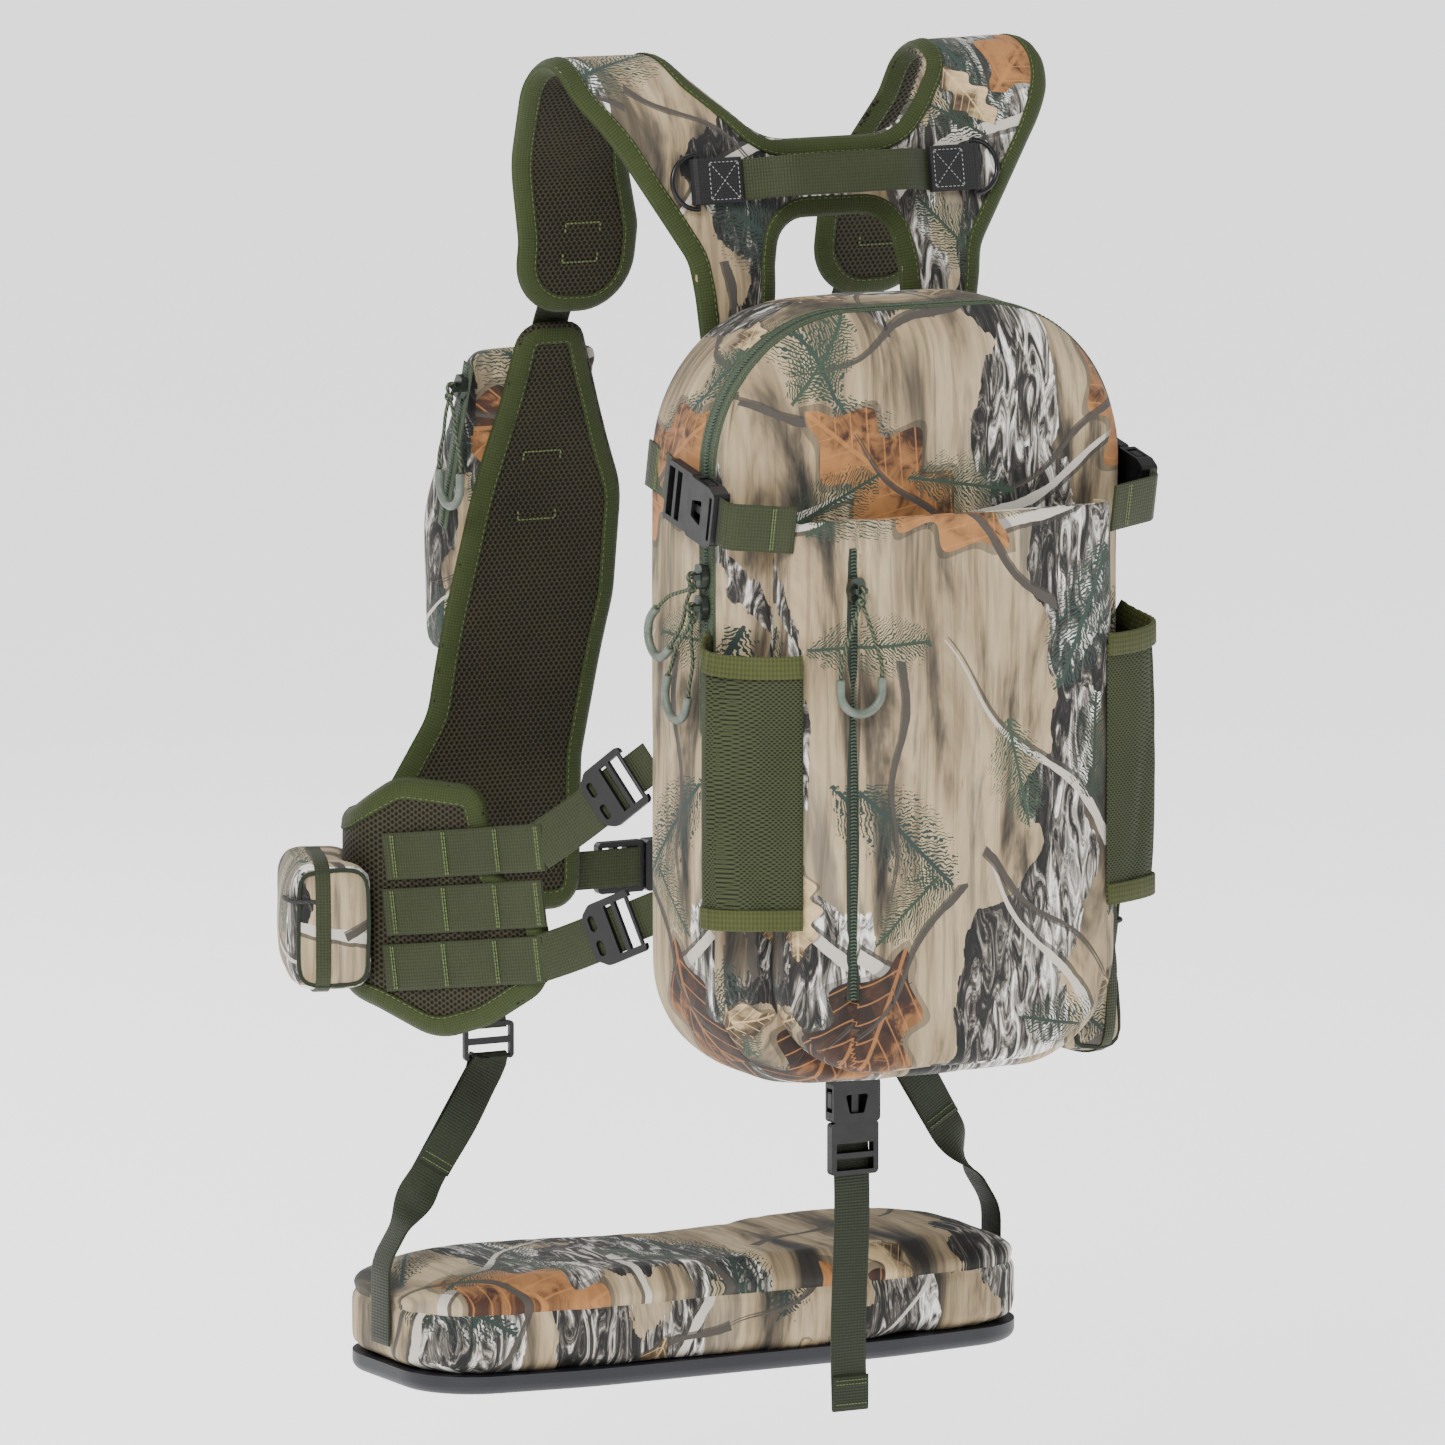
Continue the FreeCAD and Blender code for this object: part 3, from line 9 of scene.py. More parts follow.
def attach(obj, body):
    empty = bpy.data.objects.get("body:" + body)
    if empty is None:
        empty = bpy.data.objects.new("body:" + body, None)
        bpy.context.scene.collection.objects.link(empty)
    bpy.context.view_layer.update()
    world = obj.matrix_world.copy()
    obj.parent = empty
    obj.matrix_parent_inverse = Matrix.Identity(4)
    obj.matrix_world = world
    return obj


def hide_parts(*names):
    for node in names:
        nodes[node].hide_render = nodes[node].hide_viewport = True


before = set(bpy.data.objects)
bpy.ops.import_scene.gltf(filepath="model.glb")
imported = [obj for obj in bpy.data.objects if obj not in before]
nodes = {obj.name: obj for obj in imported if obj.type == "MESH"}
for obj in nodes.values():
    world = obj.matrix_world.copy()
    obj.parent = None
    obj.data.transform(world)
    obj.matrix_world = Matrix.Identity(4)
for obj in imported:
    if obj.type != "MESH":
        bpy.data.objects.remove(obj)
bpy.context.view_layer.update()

# ---- Viewpoint, floor and light -------------------------------------------------------------
# A long lens nine metres off, looking a little down at the bag's middle. The pack
# hangs free above one wide pale floor, lit by big soft panels from both sides and above.


def aimed_at(spot, target):
    """Placement of a thing that stands at a spot and looks at a target."""
    turn = (Vector(target) - Vector(spot)).to_track_quat("-Z", "Y").to_matrix().to_4x4()
    return Matrix.Translation(spot) @ turn


def shown(name, data):
    """New object in the scene."""
    piece = bpy.data.objects.new(name, data)
    bpy.context.scene.collection.objects.link(piece)
    return piece


middle = Vector((-0.064, 0.034, -0.031))
azimuth, elevation, distance = math.radians(-28), math.radians(8.3), 9.0
level_way = Vector((math.sin(azimuth), -math.cos(azimuth), 0))
lens_spot = middle + (level_way * math.cos(elevation) + Vector((0, 0, math.sin(elevation)))) * distance
camera_data = bpy.data.cameras.new("camera")
camera_data.lens = 362
camera_data.clip_end = 120
camera = shown("camera", camera_data)
camera.matrix_world = aimed_at(lens_spot, middle)
bpy.context.scene.camera = camera


def soft_panel(name, spot, target, size, power):
    """Large rectangular lamp that faces a target."""
    panel = bpy.data.lights.new(name, "AREA")
    panel.shape = "RECTANGLE"
    panel.size, panel.size_y = size
    panel.energy = power
    shown(name, panel).matrix_world = aimed_at(spot, target)


soft_panel("key_panel", (-2.4, -2.3, 2.4), (0, 0, 0), (1.5, 1.5), 190)
soft_panel("fill_panel", (2.8, -2.0, 0.8), (0, 0, 0), (2.4, 2.4), 18)
soft_panel("top_panel", (0.0, 0.2, 3.0), (0, 0, 0), (2.0, 2.0), 34)
soft_panel("back_panel", (-0.6, 3.0, 1.2), (0, 0, 0.1), (2.4, 2.0), 46)

world = bpy.data.worlds.new("white_room")
world.use_nodes = True
backdrop = world.node_tree.nodes["Background"]
backdrop.inputs["Color"].default_value = (1, 1, 1, 1)
backdrop.inputs["Strength"].default_value = 0.36
bpy.context.scene.world = world

floor_level, reach = -0.62, 40
floor_data = bpy.data.meshes.new("floor")
floor_data.from_pydata([(x * reach, y * reach, floor_level) for x, y in ((-1, -1), (1, -1), (1, 1), (-1, 1))],
                       [], [(0, 1, 2, 3)])
floor = shown("floor", floor_data)
pale = bpy.data.materials.new("pale_floor")
pale.use_nodes = True
pale_inputs = pale.node_tree.nodes["Principled BSDF"].inputs
pale_inputs["Base Color"].default_value = (0.86, 0.86, 0.86, 1)
pale_inputs["Roughness"].default_value = 0.9
pale_inputs["Emission Color"].default_value = (1, 1, 1, 1)
pale_inputs["Emission Strength"].default_value = 1.5
floor_data.materials.append(pale)


# ---- Shock cords of the hip pouches ---------------------------------------------------------
# Round elastic cord, three millimetres thick with a woven jacket, sewn into the pouch behind
# its end and drawn round the corner to its face, where the other end is sewn in.


def graph(name):
    """New material; returns it, its tree and its shader."""
    material = bpy.data.materials.new(name)
    material.use_nodes = True
    return material, material.node_tree, material.node_tree.nodes["Principled BSDF"]


def fed(tree, socket, value):
    """Gives a socket a fixed value, or links another node's outlet to it."""
    if isinstance(value, bpy.types.NodeSocket):
        tree.links.new(value, socket)
    else:
        socket.default_value = value


def put(tree, kind, outlet=0, settings=None, **inputs):
    """One node; an input is a value or another node's outlet, named or numbered (as _0)."""
    node = tree.nodes.new("ShaderNode" + kind)
    for key, value in (settings or {}).items():
        setattr(node, key, value)
    for key, value in inputs.items():
        numbered = key[0] == "_" and key[1:].isdigit()
        fed(tree, node.inputs[int(key[1:]) if numbered else key.replace("_", " ")], value)
    return node.outputs[outlet]


def worked_by(operation):
    """A maths node as a function of one or two values or outlets."""
    def work(a, b=0.0):
        tree = next(value.id_data for value in (a, b) if isinstance(value, bpy.types.NodeSocket))
        return put(tree, "Math", settings={"operation": operation}, _0=a, _1=b, _2=0.0)
    return work


add, minus, times = worked_by("ADD"), worked_by("SUBTRACT"), worked_by("MULTIPLY")


def vectors(tree, operation, a, b=(0, 0, 0), outlet=0):
    """A vector maths node."""
    return put(tree, "VectorMath", outlet, settings={"operation": operation}, _0=a, _1=b)


def on_object(tree):
    """Place on the object itself, in metres."""
    return put(tree, "TexCoord", 3)


def shades(tree, factor, stops):
    """Colour ramp from (place, colour) pairs."""
    node = tree.nodes.new("ShaderNodeValToRGB")
    ramp = node.color_ramp
    while len(ramp.elements) < len(stops):
        ramp.elements.new(0.5)
    for element, (place, colour) in zip(ramp.elements, stops):
        element.position = place
        element.color = (*colour, 1)
    tree.links.new(factor, node.inputs[0])
    return node.outputs[0]


def finish_of(tree, shader, colour, **values):
    """Gives a shader its colour pattern and its fixed values."""
    tree.links.new(colour, shader.inputs["Base Color"])
    for key, value in values.items():
        shader.inputs[key.replace("_", " ")].default_value = value


def raised(tree, shader, height, strength, depth):
    """Small relief from a height pattern."""
    node = tree.nodes.new("ShaderNodeBump")
    node.inputs["Strength"].default_value = strength
    node.inputs["Distance"].default_value = depth
    tree.links.new(height, node.inputs["Height"])
    tree.links.new(node.outputs[0], shader.inputs["Normal"])


def braided(name, dark, light, pitch):
    """Woven jacket of a cord: two sets of slanting strands."""
    material, tree, shader = graph(name)
    where = on_object(tree)
    strands = [put(tree, "TexWave", 1, _0=put(tree, "Mapping", _0=where, Rotation=turn), Scale=1 / pitch,
                   Distortion=0.6) for turn in ((0.6, 0.7, 0.5), (-0.7, 0.5, -0.8))]
    weave = times(*strands)
    finish_of(tree, shader, shades(tree, weave, [(0.0, dark), (0.8, light)]), Roughness=0.75)
    raised(tree, shader, weave, 0.5, 0.0004)
    return material


black_jacket = braided("black_cord_jacket", (0.006, 0.006, 0.006), (0.035, 0.036, 0.034), 0.004)
shock_routes = {
    "left": [(-0.29318, 0.18403, -0.1445), (-0.29761, 0.17171, -0.1445),
             (-0.29204, 0.15987, -0.1445), (-0.27972, 0.15543, -0.1445)],
    "right": [(0.29318, 0.18403, -0.1999), (0.29761, 0.17171, -0.1999),
              (0.29204, 0.15987, -0.1999), (0.27972, 0.15543, -0.1999)]}
for side, route in shock_routes.items():
    line = bpy.data.curves.new(f"shock_cord_{side}", "CURVE")
    line.dimensions = "3D"
    line.bevel_depth = 0.0015
    line.bevel_resolution = 3
    line.use_fill_caps = True
    spline = line.splines.new("NURBS")
    spline.points.add(len(route) - 1)
    for point, place in zip(spline.points, route):
        point.co = (*place, 1)
    spline.order_u = 3
    spline.use_endpoint_u = True
    spline.resolution_u = 12
    line.materials.append(black_jacket)
    cord = shown(f"shock_cord_{side}", line)
    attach(cord, "pack")
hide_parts("hip_bungees")


# ---- Bag walls ------------------------------------------------------------------------------
# One long strip of printed cloth, brushed polyester, runs round the bag as its side walls.
# It is sewn to the back edge, folded in along the zipper, and goes soft between its seams.


def rounded_points(corners, closed=True, step=0.0025):
    """Dense points along a line whose (a, b, radius) corners are turned by arcs."""
    points = []
    count = len(corners)
    for index, (a, b, radius) in enumerate(corners):
        here = Vector((a, b))
        if radius <= 0 or (not closed and index in (0, count - 1)):
            points.append(here)
            continue
        back = (Vector(corners[index - 1][:2]) - here).normalized()
        ahead = (Vector(corners[(index + 1) % count][:2]) - here).normalized()
        half = back.angle(ahead) / 2
        reach = radius / math.tan(half)
        centre = here + (back + ahead).normalized() * (radius / math.sin(half))
        start, end = here + back * reach - centre, here + ahead * reach - centre
        turn = math.atan2(start.x * end.y - start.y * end.x, start.dot(end))
        pieces = max(3, int(abs(turn) * radius / step))
        for piece in range(pieces + 1):
            angle = turn * piece / pieces
            points.append(centre + Matrix.Rotation(angle, 2) @ start)
    return points


def length_of(line):
    """Length of an open line of points."""
    return sum((after - before).length for before, after in zip(line, line[1:]))


def way_at(line, index):
    """From the point before a place on an open line to the point after it."""
    return line[min(index + 1, len(line) - 1)] - line[max(index - 1, 0)]


def clamped(value, low=0.0):
    """A share, held between low and one."""
    return min(1.0, max(low, value))


def evenly(points, count, closed=True):
    """The same line in equal steps; a closed one starts halfway along its first side."""
    points = [Vector(p) for p in points]
    if closed:
        first = (points[-1] + points[0]) / 2
        points = [first] + points + [first]
    lengths = [0.0]
    for before, after in zip(points, points[1:]):
        lengths.append(lengths[-1] + (after - before).length)
    steps = count if closed else count - 1
    result, index = [], 0
    for step in range(count):
        want = lengths[-1] * step / steps
        while index < len(points) - 2 and lengths[index + 1] < want:
            index += 1
        span = lengths[index + 1] - lengths[index]
        share = (want - lengths[index]) / span if span else 0
        result.append(points[index].lerp(points[index + 1], share))
    return result


def faces_between(count, wide, closed):
    """Four-sided faces between rows of points; closed joins each row's ends."""
    faces = []
    for r in range(count - 1):
        for c in range(wide if closed else wide - 1):
            d = (c + 1) % wide
            faces.append((r * wide + c, r * wide + d, (r + 1) * wide + d, (r + 1) * wide + c))
    return faces


def sheet_of(name, rows, closed=False, cap=False):
    """Mesh through rows of points; cap fills the last row."""
    wide = len(rows[0])
    faces = faces_between(len(rows), wide, closed)
    if cap:
        end = (len(rows) - 1) * wide
        for c in range(wide // 2 - 1):
            faces.append((end + c, end + c + 1, end + wide - 2 - c, end + wide - 1 - c))
    mesh = bpy.data.meshes.new(name)
    mesh.from_pydata([tuple(p) for row in rows for p in row], [], faces)
    return shown(name, mesh)


def outward(piece):
    """Turns every face outwards and smooths the shading."""
    shell = bmesh.new()
    shell.from_mesh(piece.data)
    bmesh.ops.remove_doubles(shell, verts=shell.verts, dist=1e-5)
    bmesh.ops.recalc_face_normals(shell, faces=shell.faces)
    for face in shell.faces:
        face.smooth = True
    shell.to_mesh(piece.data)
    shell.free()
    piece.data.update()


def cloth_layer(mesh):
    """The map that lays the cloth's weave and print on a mesh, in metres."""
    return mesh.uv_layers.get("cloth") or mesh.uv_layers.new(name="cloth")


def on_cloth(tree):
    """Place on the cloth, along and across it."""
    return put(tree, "UVMap", settings={"uv_map": "cloth"})


def mapped(piece, rule):
    """Lays the cloth's print flat on the mesh: rule gives metres across and along it."""
    mesh = piece.data
    layer = cloth_layer(mesh)
    for face in mesh.polygons:
        for loop in face.loop_indices:
            layer.data[loop].uv = rule(mesh.vertices[mesh.loops[loop].vertex_index].co, face.normal)


def crumpled(piece, size, keep=None):
    """Pushes the cloth in and out by soft folds; keep scales them from place to place."""
    mesh = piece.data
    normals = [v.normal.copy() for v in mesh.vertices]
    for vertex, normal in zip(mesh.vertices, normals):
        p = vertex.co.copy()
        p.z *= 0.55
        fold = noise.noise(p * 13) + noise.noise(p * 31 + Vector((3, 1, 7))) * 0.42
        crease = 1 - abs(noise.noise(p * 19 + Vector((9, 4, 2)))) * 3.2
        fold -= max(0.0, crease) * 0.38
        vertex.co += normal * fold * size * (keep(vertex.co) if keep else 1)
    mesh.update()


def finished(piece):
    """Applies what the modifiers do, so that one plain mesh is left."""
    depsgraph = bpy.context.evaluated_depsgraph_get()
    result = bpy.data.meshes.new_from_object(piece.evaluated_get(depsgraph), depsgraph=depsgraph)
    piece.modifiers.clear()
    piece.data = result
    return piece


def walled(piece, thickness, smooth=1, offset=-1.0):
    """Gives a sheet its thickness and rounds it."""
    solid = piece.modifiers.new("thickness", "SOLIDIFY")
    solid.thickness = thickness
    solid.offset = offset
    if smooth:
        soft = piece.modifiers.new("soft", "SUBSURF")
        soft.levels = soft.render_levels = smooth
    return finished(piece)


def mixed(tree, factor, a, b, blend="MIX"):
    """Two colours in one; each is a plain colour or another node's outlet."""
    node = tree.nodes.new("ShaderNodeMix")
    node.data_type = "RGBA"
    node.blend_type = blend
    for number, value in ((0, factor), (6, a), (7, b)):
        fed(tree, node.inputs[number], (*value, 1) if isinstance(value, tuple) else value)
    return node.outputs[2]


def tinted(colour, share):
    """A colour made darker or paler."""
    return tuple(c * share for c in colour)


above, below, larger = worked_by("GREATER_THAN"), worked_by("LESS_THAN"), worked_by("MAXIMUM")
size_of, fraction, floored = worked_by("ABSOLUTE"), worked_by("FRACT"), worked_by("FLOOR")
sine_of, cosine_of = worked_by("SINE"), worked_by("COSINE")


def woodland_cloth(name, shift, brighter=1.0):
    """Printed cloth: dry grass ground, bark, twigs, fir sprigs and oak-like leaves."""
    material, tree, shader = graph(name)
    uv = vectors(tree, "ADD", on_cloth(tree), (*shift, 0))

    def stretched(x, y, turn=0.0):
        return put(tree, "Mapping", _0=uv, Scale=(x, y, 1), Rotation=(0, 0, turn))

    def speckle(where, detail=3.0, rough=0.55, warp=0.0):
        return put(tree, "TexNoise", 0, settings={"noise_dimensions": "2D"}, _0=where, Scale=1.0,
                   Detail=detail, Roughness=rough, Distortion=warp)

    ground = shades(tree, speckle(stretched(24, 5), 5, 0.6, 0.4), [
        (0.32, (0.016, 0.013, 0.010)), (0.41, (0.10, 0.078, 0.050)), (0.48, (0.275, 0.205, 0.118)),
        (0.60, (0.41, 0.322, 0.198)), (0.70, (0.17, 0.14, 0.10))])
    blades = shades(tree, speckle(stretched(160, 9, 0.12), 4, 0.6, 0.6), [
        (0.40, (0.55, 0.52, 0.46)), (0.5, (1, 1, 1)), (0.6, (1.12, 1.1, 1.04))])
    colour = mixed(tree, 0.55, ground, blades, "MULTIPLY")

    def trunks(colour, turn, pitch, wide, seed, chance):
        """Bark in long bands, dark at one edge and pale at the other."""
        flow = vectors(tree, "ADD", stretched(1, 1, turn), (seed, 0, 0))
        across = put(tree, "SeparateXYZ", _0=flow)
        wobble = put(tree, "TexNoise", 0, settings={"noise_dimensions": "2D"}, _0=flow, Scale=7.0, Detail=2.0)
        place = add(times(across, 1 / pitch),
                      times(wobble, 0.9))
        offset = minus(fraction(place), 0.5)
        tight = add(wide, times(minus(wobble, 0.5), 0.3))
        edge = minus(tight, size_of(offset))
        rough_edge = speckle(stretched(90, 26, turn), 3, 0.6)
        edge = add(edge, times(minus(rough_edge, 0.5), 0.10))
        mask = above(edge, 0.0)
        picked = put(tree, "TexWhiteNoise", 0, settings={"noise_dimensions": "1D"},
                     _1=add(floored(place), seed))
        mask = times(mask, below(picked, chance))
        plates = speckle(stretched(120, 30, turn), 7, 0.68, 1.4)
        lit = add(plates, times(offset, 0.42))
        bark = shades(tree, lit, [(0.36, (0.0015, 0.0015, 0.0015)), (0.46, (0.018, 0.016, 0.014)),
                                  (0.53, (0.12, 0.105, 0.088)), (0.60, (0.42, 0.40, 0.36)),
                                  (0.70, (0.86, 0.85, 0.82))])
        return mixed(tree, mask, colour, bark)

    colour = trunks(colour, 0.06, 0.155, 0.22, 2.3, 0.68)
    colour = trunks(colour, -0.38, 0.24, 0.09, 7.7, 0.6)

    def in_cells(size, seed, spread=0.75):
        """Local place in scattered cells, each turned its own way, and the cell's own number."""
        where = put(tree, "Mapping", _0=uv, Location=(seed, seed * 0.37, 0), Scale=(1 / size, 1 / size, 1))
        cells = tree.nodes.new("ShaderNodeTexVoronoi")
        cells.voronoi_dimensions = "2D"
        cells.inputs["Scale"].default_value = 1.0
        cells.inputs["Randomness"].default_value = spread
        tree.links.new(where, cells.inputs["Vector"])
        local = vectors(tree, "SUBTRACT", where, cells.outputs["Position"])
        parts = tree.nodes.new("ShaderNodeSeparateColor")
        tree.links.new(cells.outputs["Color"], parts.inputs[0])
        spin = put(tree, "VectorRotate", settings={"rotation_type": "Z_AXIS"}, _0=local,
                   Angle=times(parts.outputs[0], 6.283))
        axes = tree.nodes.new("ShaderNodeSeparateXYZ")
        tree.links.new(spin, axes.inputs[0])
        return axes.outputs[0], axes.outputs[1], parts.outputs[1], parts.outputs[2]

    def twigs(colour, size, seed, thin, pale):
        """Thin bent twigs with a dark underside."""
        x, y, _, _ = in_cells(size, seed, 0.9)
        bend = times(sine_of(times(x, 9.0)), 0.03)
        line = minus(y, bend)
        uneven = add(thin * 0.5, times(speckle(stretched(60, 60), 3), thin))
        taper = times(minus(0.62, x), uneven)
        body = below(size_of(line), taper)
        under = below(size_of(add(line, thin * 0.8)), taper)
        colour = mixed(tree, times(under, 0.8), colour, (0.03, 0.027, 0.022))
        return mixed(tree, body, colour, pale)

    def sprigs(colour, size, seed, chance, green):
        """Fir sprigs: slanting needles on both sides of a stem."""
        x, y, pick, tone = in_cells(size, seed)
        side = size_of(y)
        slant = add(x, times(side, 1.1))
        ragged = speckle(stretched(150, 150), 2, 0.6)
        slant = add(slant, times(ragged, 0.09))
        needles = below(fraction(times(slant, 30)),
                        minus(0.62, times(side, 1.9)))
        fade = times(minus(0.2, times(x, x)), 1.15)
        fade = add(fade, times(minus(ragged, 0.5), 0.22))
        inside = below(side, fade)
        stem = below(side, 0.012)
        mask = times(larger(needles, stem), inside)
        mask = times(mask, below(pick, chance))
        return mixed(tree, mask, colour, shades(tree, tone, [(0.0, green), (1.0, tinted(green, 2.1))]))

    def leaves(colour, size, seed, chance, dark, light):
        """Lobed leaves with a midrib, side veins, a shaded half and a dark rim."""
        x, y, pick, tone = in_cells(size, seed, 0.8)
        side = size_of(y)
        lobes = add(0.76, times(cosine_of(times(x, 30)), 0.24))
        oval = minus(0.21, times(times(x, x), 1.25))
        room = minus(times(oval, lobes), side)
        seen = below(pick, chance)
        mask = times(above(room, 0.0), seen)
        shadow = times(above(room, -0.03), seen)
        colour = mixed(tree, times(shadow, 0.55), colour, (0.025, 0.02, 0.015))
        flesh = speckle(stretched(70, 70), 4, 0.6, 0.5)
        shade = add(flesh, times(y, 1.3))
        shade = add(shade, times(minus(tone, 0.5), 0.35))
        skin = shades(tree, shade, [(0.25, tinted(dark, 0.25)), (0.45, dark), (0.62, light),
                                    (0.85, tinted(light, 1.5))])
        vein = fraction(times(minus(x, times(side, 0.9)), 12))
        veins = larger(below(vein, 0.09), below(side, 0.008))
        skin = mixed(tree, times(veins, 0.5), skin, tinted(light, 1.9))
        return mixed(tree, mask, colour, skin)

    colour = sprigs(colour, 0.11, 3.1, 0.62, (0.011, 0.022, 0.017))
    colour = twigs(colour, 0.19, 1.7, 0.019, (0.50, 0.46, 0.40))
    colour = leaves(colour, 0.175, 5.9, 0.42, (0.050, 0.016, 0.005), (0.23, 0.100, 0.030))
    colour = twigs(colour, 0.13, 11.3, 0.016, (0.05, 0.042, 0.034))
    colour = sprigs(colour, 0.082, 8.4, 0.34, (0.016, 0.030, 0.018))
    colour = leaves(colour, 0.075, 13.5, 0.13, (0.10, 0.062, 0.028), (0.40, 0.29, 0.15))
    soil = shades(tree, speckle(stretched(17, 17), 4, 0.6), [(0.3, (0.8, 0.8, 0.8)), (0.7, (1.1, 1.1, 1.1))])
    colour = mixed(tree, 0.5, colour, soil, "MULTIPLY")
    if brighter != 1.0:
        colour = mixed(tree, 1.0, colour, (brighter, brighter, brighter), "MULTIPLY")
    finish_of(tree, shader, colour, Roughness=0.82, Sheen_Weight=0.05, Sheen_Roughness=0.5)
    yarn, weft = (put(tree, "TexWave", 1, settings={"bands_direction": way}, _0=uv, Scale=scale,
                      Distortion=1.5, Detail=1.0) for way, scale in (("X", 520.0), ("Y", 430.0)))
    nap = speckle(stretched(1400, 1400), 2, 0.5)
    weave = add(times(yarn, weft), times(nap, 0.7))
    raised(tree, shader, weave, 0.35, 0.0003)
    return material


half_width, foot, crown = 0.140, -0.237, 0.238
back_y, wall_y, panel_y = -0.012, -0.080, -0.098
zip_end = -0.021


def bag_loop(side=0.0, bottom=None, top=None, count=240):
    """The bag's outline from behind, drawn in by insets."""
    bottom = side if bottom is None else bottom
    top = side if top is None else top
    low, high = max(0.004, 0.070 - min(side, bottom)), max(0.004, 0.095 - min(side, top))
    a, b, c = half_width - side, foot + bottom, crown - top
    return evenly(rounded_points([(-a, b, low), (a, b, low), (a, c, high), (-a, c, high)]), count)


wall_rows = []
for share, inset in ((0.0, 0.012), (0.0, 0.005), (0.03, 0.0008), (0.08, 0.0), (0.2, -0.0016), (0.32, -0.0026),
                     (0.44, -0.0032), (0.56, -0.0034), (0.68, -0.0030), (0.8, -0.0021), (0.9, -0.0009),
                     (0.965, 0.0), (0.995, 0.0012), (0.985, 0.003)):
    row = []
    for x, z in bag_loop(inset):
        blend = clamped((zip_end - z) / 0.014 + 0.5)
        front = wall_y + (panel_y - 0.0004 - wall_y) * blend
        row.append(Vector((x, back_y + (front - back_y) * share, z)))
    wall_rows.append(row)
bag_wall = sheet_of("bag_wall", wall_rows, closed=True)
outward(bag_wall)
crumpled(bag_wall, 0.0024, lambda p: clamped((back_y - p.y) / 0.02) * clamped((p.y + 0.083) / 0.02))
walled(bag_wall, 0.0016)
mapped(bag_wall, lambda p, n: (p.y, p.z + (0.0 if abs(n.x) > abs(n.z) * 0.8 else half_width - abs(p.x))))
print_on_bag = woodland_cloth("woodland_cloth_bag", (0.31, 0.20))
bag_wall.data.materials.append(print_on_bag)
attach(bag_wall, "pack")
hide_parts("main_shell")

# ---- Front panel ----------------------------------------------------------------------------
# Domed front of the bag in the same printed cloth, lined and lightly padded. Its rim is
# folded under and sewn to the zipper tape, and to the side strip below the zipper's ends.

panel_rows = [[Vector((x, panel_y + 0.0012, z)) for x, z in bag_loop(0.0022)]]
for share in (0.0, 0.02, 0.05, 0.09, 0.14, 0.20, 0.28, 0.38, 0.5, 0.64, 0.8, 1.0):
    depth = 1 - (1 - share) ** 3.6
    loop = bag_loop(0.028 * share, 0.012 * share, 0.048 * share)
    panel_rows.append([Vector((x, panel_y - 0.024 * depth, z)) for x, z in loop])
last = panel_rows[-1]
heart = Vector((0, -0.1225, -0.02))
for share in (0.9, 0.78, 0.66, 0.54, 0.42, 0.3, 0.18, 0.06):
    panel_rows.append([heart + (p - heart) * share + Vector((0, -0.0014 * (1 - share), 0)) for p in last])
front_panel = sheet_of("front_panel_cloth", panel_rows, closed=True, cap=True)
outward(front_panel)
crumpled(front_panel, 0.0024, lambda p: clamped((panel_y - p.y) / 0.012, 0.1))
walled(front_panel, 0.0014)
rim_y = 0.115


def on_panel(p, n):
    """The print runs on over the panel's rim."""
    if abs(n.y) > 0.45:
        return p.x, p.z
    if abs(n.x) > abs(n.z):
        return p.x + math.copysign(abs(p.y + rim_y), p.x), p.z
    return p.x, p.z - p.y - rim_y


mapped(front_panel, on_panel)
front_panel.data.materials.append(print_on_bag)
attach(front_panel, "pack")
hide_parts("front_panel")

# ---- Stash pocket ---------------------------------------------------------------------------
# Open-topped outer pocket of printed cloth, gathered at its rounded lower corners. A placket
# fold runs down it beside the zipper, held by a line of stitches.


def stash_loop(inset, count=260):
    """The pocket's outline from behind, drawn in by an inset."""
    a, b, c = 0.112 - inset, -0.225 + inset, 0.118 - inset * 0.12
    low = max(0.006, 0.060 - inset)
    return evenly(rounded_points([(-a, b, low), (a, b, low), (a, c, 0.004), (-a, c, 0.004)]), count)


stash_rows = []
for y, inset in ((-0.1195, 0.0), (-0.127, -0.0014), (-0.134, -0.0018), (-0.139, -0.0012), (-0.1435, 0.0008),
                 (-0.1470, 0.0042), (-0.1492, 0.009), (-0.1502, 0.015), (-0.1506, 0.022), (-0.151, 0.031)):
    stash_rows.append([Vector((x, y, z)) for x, z in stash_loop(inset)])
last = stash_rows[-1]
heart = Vector((0, -0.1512, -0.05))
for share in [1 - 0.055 * k for k in range(1, 18)] + [0.03]:
    swell = Vector((0, -0.0016 * math.sin(share * 3.1), 0))
    stash_rows.append([heart + (p - heart) * share + swell for p in last])
stash = sheet_of("stash_pocket_cloth", stash_rows, closed=True, cap=True)
outward(stash)
mouth = bmesh.new()
mouth.from_mesh(stash.data)
lid = [f for f in mouth.faces if f.normal.z > 0.8 and f.calc_center_median().z > 0.115
       and f.calc_center_median().y > -0.1455]
bmesh.ops.delete(mouth, geom=lid, context="FACES")
mouth.to_mesh(stash.data)
mouth.free()


def placket(p):
    """Height of the placket's fold at a place across the pocket's face."""
    rise = 1 / (1 + math.exp(-(p.x + 0.066) / 0.0011)) - 1 / (1 + math.exp(-(p.x + 0.043) / 0.0020))
    return 0.0030 * rise - 0.0034 * math.exp(-((p.x + 0.0705) / 0.0028) ** 2)


